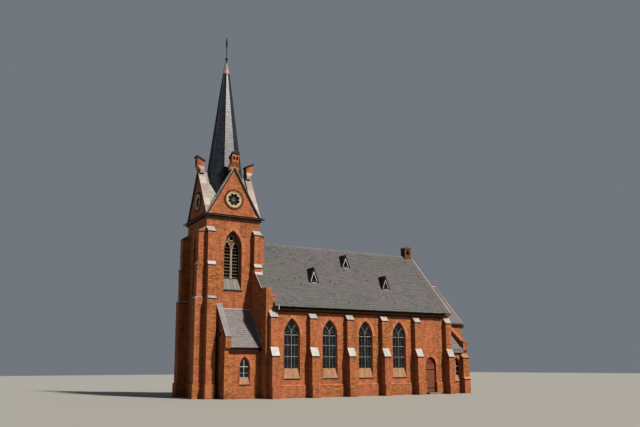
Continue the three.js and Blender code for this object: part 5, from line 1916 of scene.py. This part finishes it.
@dataclass
class LeanTo:
    """A lean-to roof that rises northwards from its eave to a wall."""

    west: float
    east: float
    eave_y: float
    eave: float
    top_y: float
    top: float

    def slope_at(self, y: float) -> float:
        """Gives the roof's height at y."""
        return self.eave + (self.top - self.eave) * (y - self.eave_y) / (self.top_y - self.eave_y)

    def slates(self, overhang: float, seed: int) -> Shape:
        """Lays its slates.

        Args:
            overhang: How far they reach past the eave.
            seed: Start of the small differences between slates.

        Returns:
            The slates.
        """
        out = self.eave_y - overhang
        low = self.slope_at(out)
        corners = [(self.west, out, low), (self.east, out, low), (self.east, self.top_y, self.top),
                   (self.west, self.top_y, self.top)]
        return SlateField(corners, (1, 0, 0), width=0.26, gauge=0.18, seed=seed).build()


@dataclass
class Annex(LeanTo):
    """The lean-to rooms on both sides of the tower: slates, flashings, gutter and window."""

    west: float = -0.79
    east: float = 1.40
    eave_y: float = -3.93
    eave: float = 3.40
    top_y: float = -2.0
    top: float = 6.02
    parapet: Span = (-1.19, -0.79)
    flashing_steps: int = 8
    coping_stones: int = 5

    def flashings(self) -> Shape:
        """Makes the stepped flashings along both edges of the roof."""
        shape = Shape()
        run = self.top_y - self.eave_y - 0.12
        for i in range(self.flashing_steps):
            a = self.eave_y + 0.12 + run * i / self.flashing_steps
            b = a + run / self.flashing_steps
            height = (self.slope_at(a), self.slope_at(b) + 0.10)
            shape.block(about(self.west, 0.012), (a, b), height)
            shape.block((self.east - 0.014, self.east + 0.01), (a, b), height)
        return shape

    def copings(self) -> Shape:
        """Makes the coping sheets of the parapet."""
        shape = Shape()
        (y0, z0), (y1, z1) = (-3.93, 4.07), (-2.02, 6.44)
        for i in range(self.coping_stones):
            shares = [i / self.coping_stones, (i + 0.98) / self.coping_stones]
            (ya, za), (yb, zb) = [(y0 + (y1 - y0) * s, z0 + (z1 - z0) * s) for s in shares]
            section = [(ya, za - 0.03), (yb, zb - 0.03), (yb, zb + 0.035), (ya, za + 0.035)]
            shape.prism(Axis.X, section, widened(self.parapet, 0.02))
        return shape

    def build(self) -> None:
        """Makes the pieces of both annexes."""
        lay_piece("annex_slates", self.slates(0.03, 31).both_sides(), "annex_slate")
        y = self.top_y - 0.01
        front = y - 0.045
        section = [(y, self.top + 0.10), (front, self.top + 0.065), (front, self.top - 0.02), (y, self.top)]
        head = Shape().prism(Axis.X, section, (-0.80, 1.42))
        lay_piece("annex_head_flashings", head.both_sides(), "verge_stone")
        lay_piece("annex_flashings", self.flashings().both_sides(), "zinc")
        gutter = Shape().prism(Axis.X, half_round(self.eave_y - 0.03, self.eave - 0.10, 0.045, 0.036),
                               (self.west - 0.02, self.east - 0.01))
        gutter.block((self.west, self.east), (self.eave_y - 0.012, self.eave_y + 0.01), (3.12, 3.38))
        lay_piece("annex_gutters", gutter.both_sides(), "gutter_brown")
        window = LancetWindow(0.265, -3.75).parts()
        lay_parts("annex_window_{}", {part: shape.both_sides() for part, shape in window.items()})
        lay_piece("annex_copings", self.copings().both_sides(), "dull_zinc", bevel=0.006)
        # A near-black disc on each parapet: painted shade in the vent's opening.
        vent = Shape().turned([(0.15, -0.01), (0.15, 0.012), (0.12, 0.014)], (0, 0, 0), 20)
        turn = Matrix.Translation((self.parapet[0], -2.90, 4.25)) @ Matrix.Rotation(math.radians(-90), 4, "Y")
        lay_piece("annex_vent_painted_shades", vent.placed(turn).both_sides(), "painted_shade_black")


@dataclass
class Chancel:
    """The five-sided chancel: slates, hips, gutter and windows."""

    half: float = 2.8
    bend: float = 19.9
    end: float = 21.6
    end_half: float = 1.15
    wall_top: float = 5.5
    ridge: float = 8.9
    ridge_end: float = 19.7
    out: float = 0.2
    nave_east: float = 17.15
    sacristy_east: float = 18.87

    def outline(self, grow: float) -> Outline:
        """Draws the chancel's south half in plan, from the nave to the middle of the end.

        Args:
            grow: How far the outline stands out.

        Returns:
            The corners.
        """
        slant = grow * math.tan(math.pi / 8)
        return [(self.nave_east, -self.half - grow), (self.bend + slant, -self.half - grow),
                (self.end + grow, -self.end_half - slant), (self.end + grow, 0)]

    def roofs(self) -> None:
        """Lays the slates, hips and ridge."""
        a, b, c, _ = [Vector((x, y, self.wall_top + 0.12)) for x, y in self.outline(self.out - 0.045)]
        top_w = Vector((self.nave_east, 0, self.ridge))
        top_e = Vector((self.ridge_end, 0, self.ridge))
        slopes = ((51, [a, b, top_e, top_w], (1, 0, 0)), (52, [b, c, top_e], c - b),
                  (53, [c, Vector((c.x, -c.y, c.z)), top_e], (0, 1, 0)))
        side, slant, end = (SlateField(corners, along, width=0.28, gauge=0.2, seed=seed).build()
                            for seed, corners, along in slopes)
        lay_piece("chancel_slates", side.join(slant).both_sides().join(end), "nave_slate")
        lift = Vector((0, 0, 0.02))
        hips = Shape()
        for corner in (b, c):
            hips.tube([corner + lift, top_e + lift], 0.045, 8)
        hips.both_sides()
        hips.tube([top_w + lift, top_e + lift], 0.06, 8)
        hips.turned([(0.05, 0.0), (0.07, 0.06), (0.03, 0.14), (0.03, 0.4), (0.06, 0.46), (0.01, 0.62)], top_e, 10)
        lay_piece("chancel_leads", hips, "lead")
        ring = [(x, y, self.wall_top - 0.06) for x, y in self.outline(self.out - 0.06)]
        lay_piece("chancel_gutters", Shape().tube(ring, 0.055, 8).both_sides(), "gutter_iron")

    def window(self) -> dict[str, Shape]:
        """Makes one window on a south face, by part."""
        stones = Shape().block((-0.035, 0.035), (0.15, 0.2), (1.72, 4.1))
        for side in SIDES:
            branch = [(side * (0.02 + 0.30 * (i / 6) ** 1.3), 0.17, 3.55 + 0.42 * i / 6) for i in range(7)]
            stones.tube(branch, 0.025)
        bars = Shape()
        for height in (2.2, 2.85, 3.5):
            bars.block((-0.4, 0.4), (0.165, 0.185), about(height, 0.013))
        return {"arches": ArchRing(0, 0.8, 3.5, 4.25, 0.0, rise=0.22).build(),
                "sills": BrickSill(0, 0.79, 0.79, (-0.012, 1.495), (0.20, 1.78)).build(),
                "glass": Shape().prism(Axis.Y, pointed_outline(0, 0.81, 1.52, 3.5, 4.26), (0.20, 0.21)),
                "stones": stones, "bars": bars}

    def build(self) -> None:
        """Makes the chancel's pieces."""
        self.roofs()
        x = (self.bend + self.end) / 2
        y = (self.half + self.end_half) / 2
        straight = (self.sacristy_east + self.bend) / 2
        angle = math.atan2(self.end - self.bend, self.half - self.end_half)
        places = ((straight, -self.half, 0.0), (x, -y, angle), (self.end, 0.0, math.pi / 2),
                  (x, y, math.pi - angle), (straight, self.half, math.pi))
        turns = [Matrix.Translation((u, v, 0)) @ Matrix.Rotation(turn, 4, "Z") for u, v, turn in places]
        window = self.window()
        parts = gather({part: shape.placed(turn) for part, shape in window.items()} for turn in turns)
        lay_parts("chancel_window_{}", parts, sills="rubbed_brick")


@dataclass
class Sacristy(LeanTo):
    """The small room south of the chancel."""

    west: float = 17.15
    east: float = 18.47
    eave_y: float = -4.75
    eave: float = 3.40
    top_y: float = -2.8
    top: float = 5.15
    outer: float = 18.87

    def build(self) -> None:
        """Makes the sacristy's pieces."""
        lay_piece("sacristy_slates", self.slates(0.02, 61), "annex_slate")
        stages = ((0.43, 1.10, 1.24), (0.33, 2.75, 3.04))
        caps, nosings = stepped_caps((self.outer - 0.59, self.outer), -4.57, stages)
        lay_piece("sacristy_buttress_caps", caps, "rubbed_brick", bevel=0.005)
        lay_piece("sacristy_buttress_nosings", nosings, "dark_lead")
        lay_parts("sacristy_window_{}", LancetWindow(17.88, -4.57).parts())


@dataclass
class Studio:
    """The camera at the photograph's angle, a soft sun, an even sky and a pale floor."""

    place: tuple[float, float, float] = (-17.298, -44.936, 2.07)
    yaw: float = 29.551
    pitch: float = 9.025
    roll: float = -0.22
    focal: float = 660.417
    middle: float = 262.0
    sensor: float = 36.0
    view_end: float = 400.0
    sun_turn: float = 23.0
    sun_height: float = 46.0
    sun_size: float = 4.0
    sun_energy: float = 3.9
    sky_strength: float = 0.20
    floor_size: float = 150.0

    def camera(self) -> None:
        """Makes the camera from its fitted place and angles."""
        data = bpy.data.cameras.new("view")
        data.sensor_width = self.sensor
        data.lens = self.focal / IMAGE_WIDTH * data.sensor_width
        data.shift_y = (self.middle - IMAGE_HEIGHT / 2) / IMAGE_WIDTH
        data.clip_end = self.view_end
        camera = bpy.data.objects.new("view", data)
        yaw, pitch, roll = (math.radians(v) for v in (self.yaw, self.pitch, self.roll))
        ahead = Vector((math.sin(yaw) * math.cos(pitch), math.cos(yaw) * math.cos(pitch), math.sin(pitch)))
        right = Vector((math.cos(yaw), -math.sin(yaw), 0))
        side = right * math.cos(roll) + right.cross(ahead) * math.sin(roll)
        turn = Matrix((side, side.cross(ahead), -ahead)).transposed().to_4x4()
        camera.matrix_world = Matrix.Translation(self.place) @ turn
        bpy.context.scene.collection.objects.link(camera)
        bpy.context.scene.camera = camera

    def lights(self) -> None:
        """Makes a soft sun from the south-south-east."""
        lamp = bpy.data.lights.new("sun", "SUN")
        lamp.energy = self.sun_energy
        lamp.angle = math.radians(self.sun_size)
        lamp.color = (1.0, 0.94, 0.85)
        sun = bpy.data.objects.new("sun", lamp)
        turn, height = math.radians(self.sun_turn), math.radians(self.sun_height)
        towards = Vector((math.sin(turn) * math.cos(height), -math.cos(turn) * math.cos(height), math.sin(height)))
        sun.rotation_mode = "QUATERNION"
        sun.rotation_quaternion = towards.to_track_quat("Z", "Y")
        bpy.context.scene.collection.objects.link(sun)
        bpy.context.scene.view_settings.view_transform = "Standard"
        bpy.context.scene.view_settings.look = "High Contrast"

    def sky(self) -> None:
        """Makes an even sky, dim beside the sun."""
        world = bpy.data.worlds.new("sky")
        bpy.context.scene.world = world
        world.use_nodes = True
        back = world.node_tree.nodes["Background"]
        back.inputs["Color"].default_value = (0.84, 0.91, 1.0, 1.0)
        back.inputs["Strength"].default_value = self.sky_strength

    def floor(self) -> None:
        """Makes the plain pale floor."""
        mesh = bpy.data.meshes.new("floor")
        size = self.floor_size
        corners = [(-size, -size, 0), (size, -size, 0), (size, size, 0), (-size, size, 0)]
        mesh.from_pydata(corners, [], [(0, 1, 2, 3)])
        made = bpy.data.materials.new("floor_pale")
        made.use_nodes = True
        graph = Graph(made.node_tree)
        shader = made.node_tree.nodes["Principled BSDF"]
        noise = graph.put("ShaderNodeTexNoise", {"Scale": 0.3, "Detail": 3.0}).outputs[0]
        graph.tree.links.new(graph.ramp(noise, [(0.3, "979692"), (0.7, "9f9e9a")]), shader.inputs["Base Color"])
        shader.inputs["Roughness"].default_value = 0.9
        mesh.materials.append(made)
        floor = bpy.data.objects.new("floor", mesh)
        floor.location.z = -0.002
        bpy.context.scene.collection.objects.link(floor)

    def build(self) -> None:
        """Makes the camera, lights, sky and floor."""
        self.camera()
        self.lights()
        self.sky()
        self.floor()


NODE_FINISHES = {
    "wall_brick": ("tower_corner_", "tower_wall_", "tower_gable_", "nave_wall_", "nave_buttress", "wall_west_of",
                   "wall_east_of", "wall_over_", "nave_west_wing_", "annex_west_wall_", "annex_wall_",
                   "chancel_walls", "sacristy_walls"),
    "cornice_brown": ("tower_cornice",),
    "pale_slate": ("tower_roof",),
    "spire_slate": ("spire",),
    "nave_slate": ("nave_roof", "chancel_roof"),
    "annex_slate": ("annex_roof_", "sacristy_roof"),
    "church_glass": ("nave_glazing_", "annex_window_", "chancel_glazing", "sacristy_window"),
    "oak": ("west_doors", "south_door"),
    "red_frame": ("south_door_frame",),
    "grey_stone": ("south_door_step", "belfry_tracery_"),
    "cap_lead": ("spire_finial",),
    "paving": ("church_floor", "annex_floor_", "sacristy_floor"),
}


def dress_packed_model(names: Iterable[str]) -> None:
    """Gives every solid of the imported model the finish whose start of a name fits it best.

    Args:
        names: The solids' names.
    """
    starts = {start: finish for finish, group in NODE_FINISHES.items() for start in group}
    nodes = {o.get("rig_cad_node"): o for o in bpy.context.scene.objects if o.get("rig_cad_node")}
    for name in names:
        best = max((start for start in starts if name.startswith(start)), key=len, default="")
        finish = starts.get(best, "wall_brick")
        slots = nodes[name].material_slots
        if not slots:
            raise ValueError(f"{name} has no material slot")
        for slot in slots:
            slot.link = "OBJECT"
            slot.material = bpy.data.materials[finish]
        LOG.info("%s: dressed in %s", name, finish)


def main() -> None:
    """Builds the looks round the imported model."""
    logging.basicConfig(level=logging.INFO, format="%(name)s %(message)s")
    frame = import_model()
    Studio().build()
    make_finishes()
    dress_packed_model(frame["nodes"])
    for part in (TowerBody(), Belfry(), TowerGable(), CrossingRoof(), Spire(), WestPortal(), Nave(), NaveRoof(),
                 EastGable(), SouthDoor(), Annex(), Chancel(), Sacristy()):
        part.build()
        LOG.info("%s built", type(part).__name__)


if __name__ == "__main__":
    main()
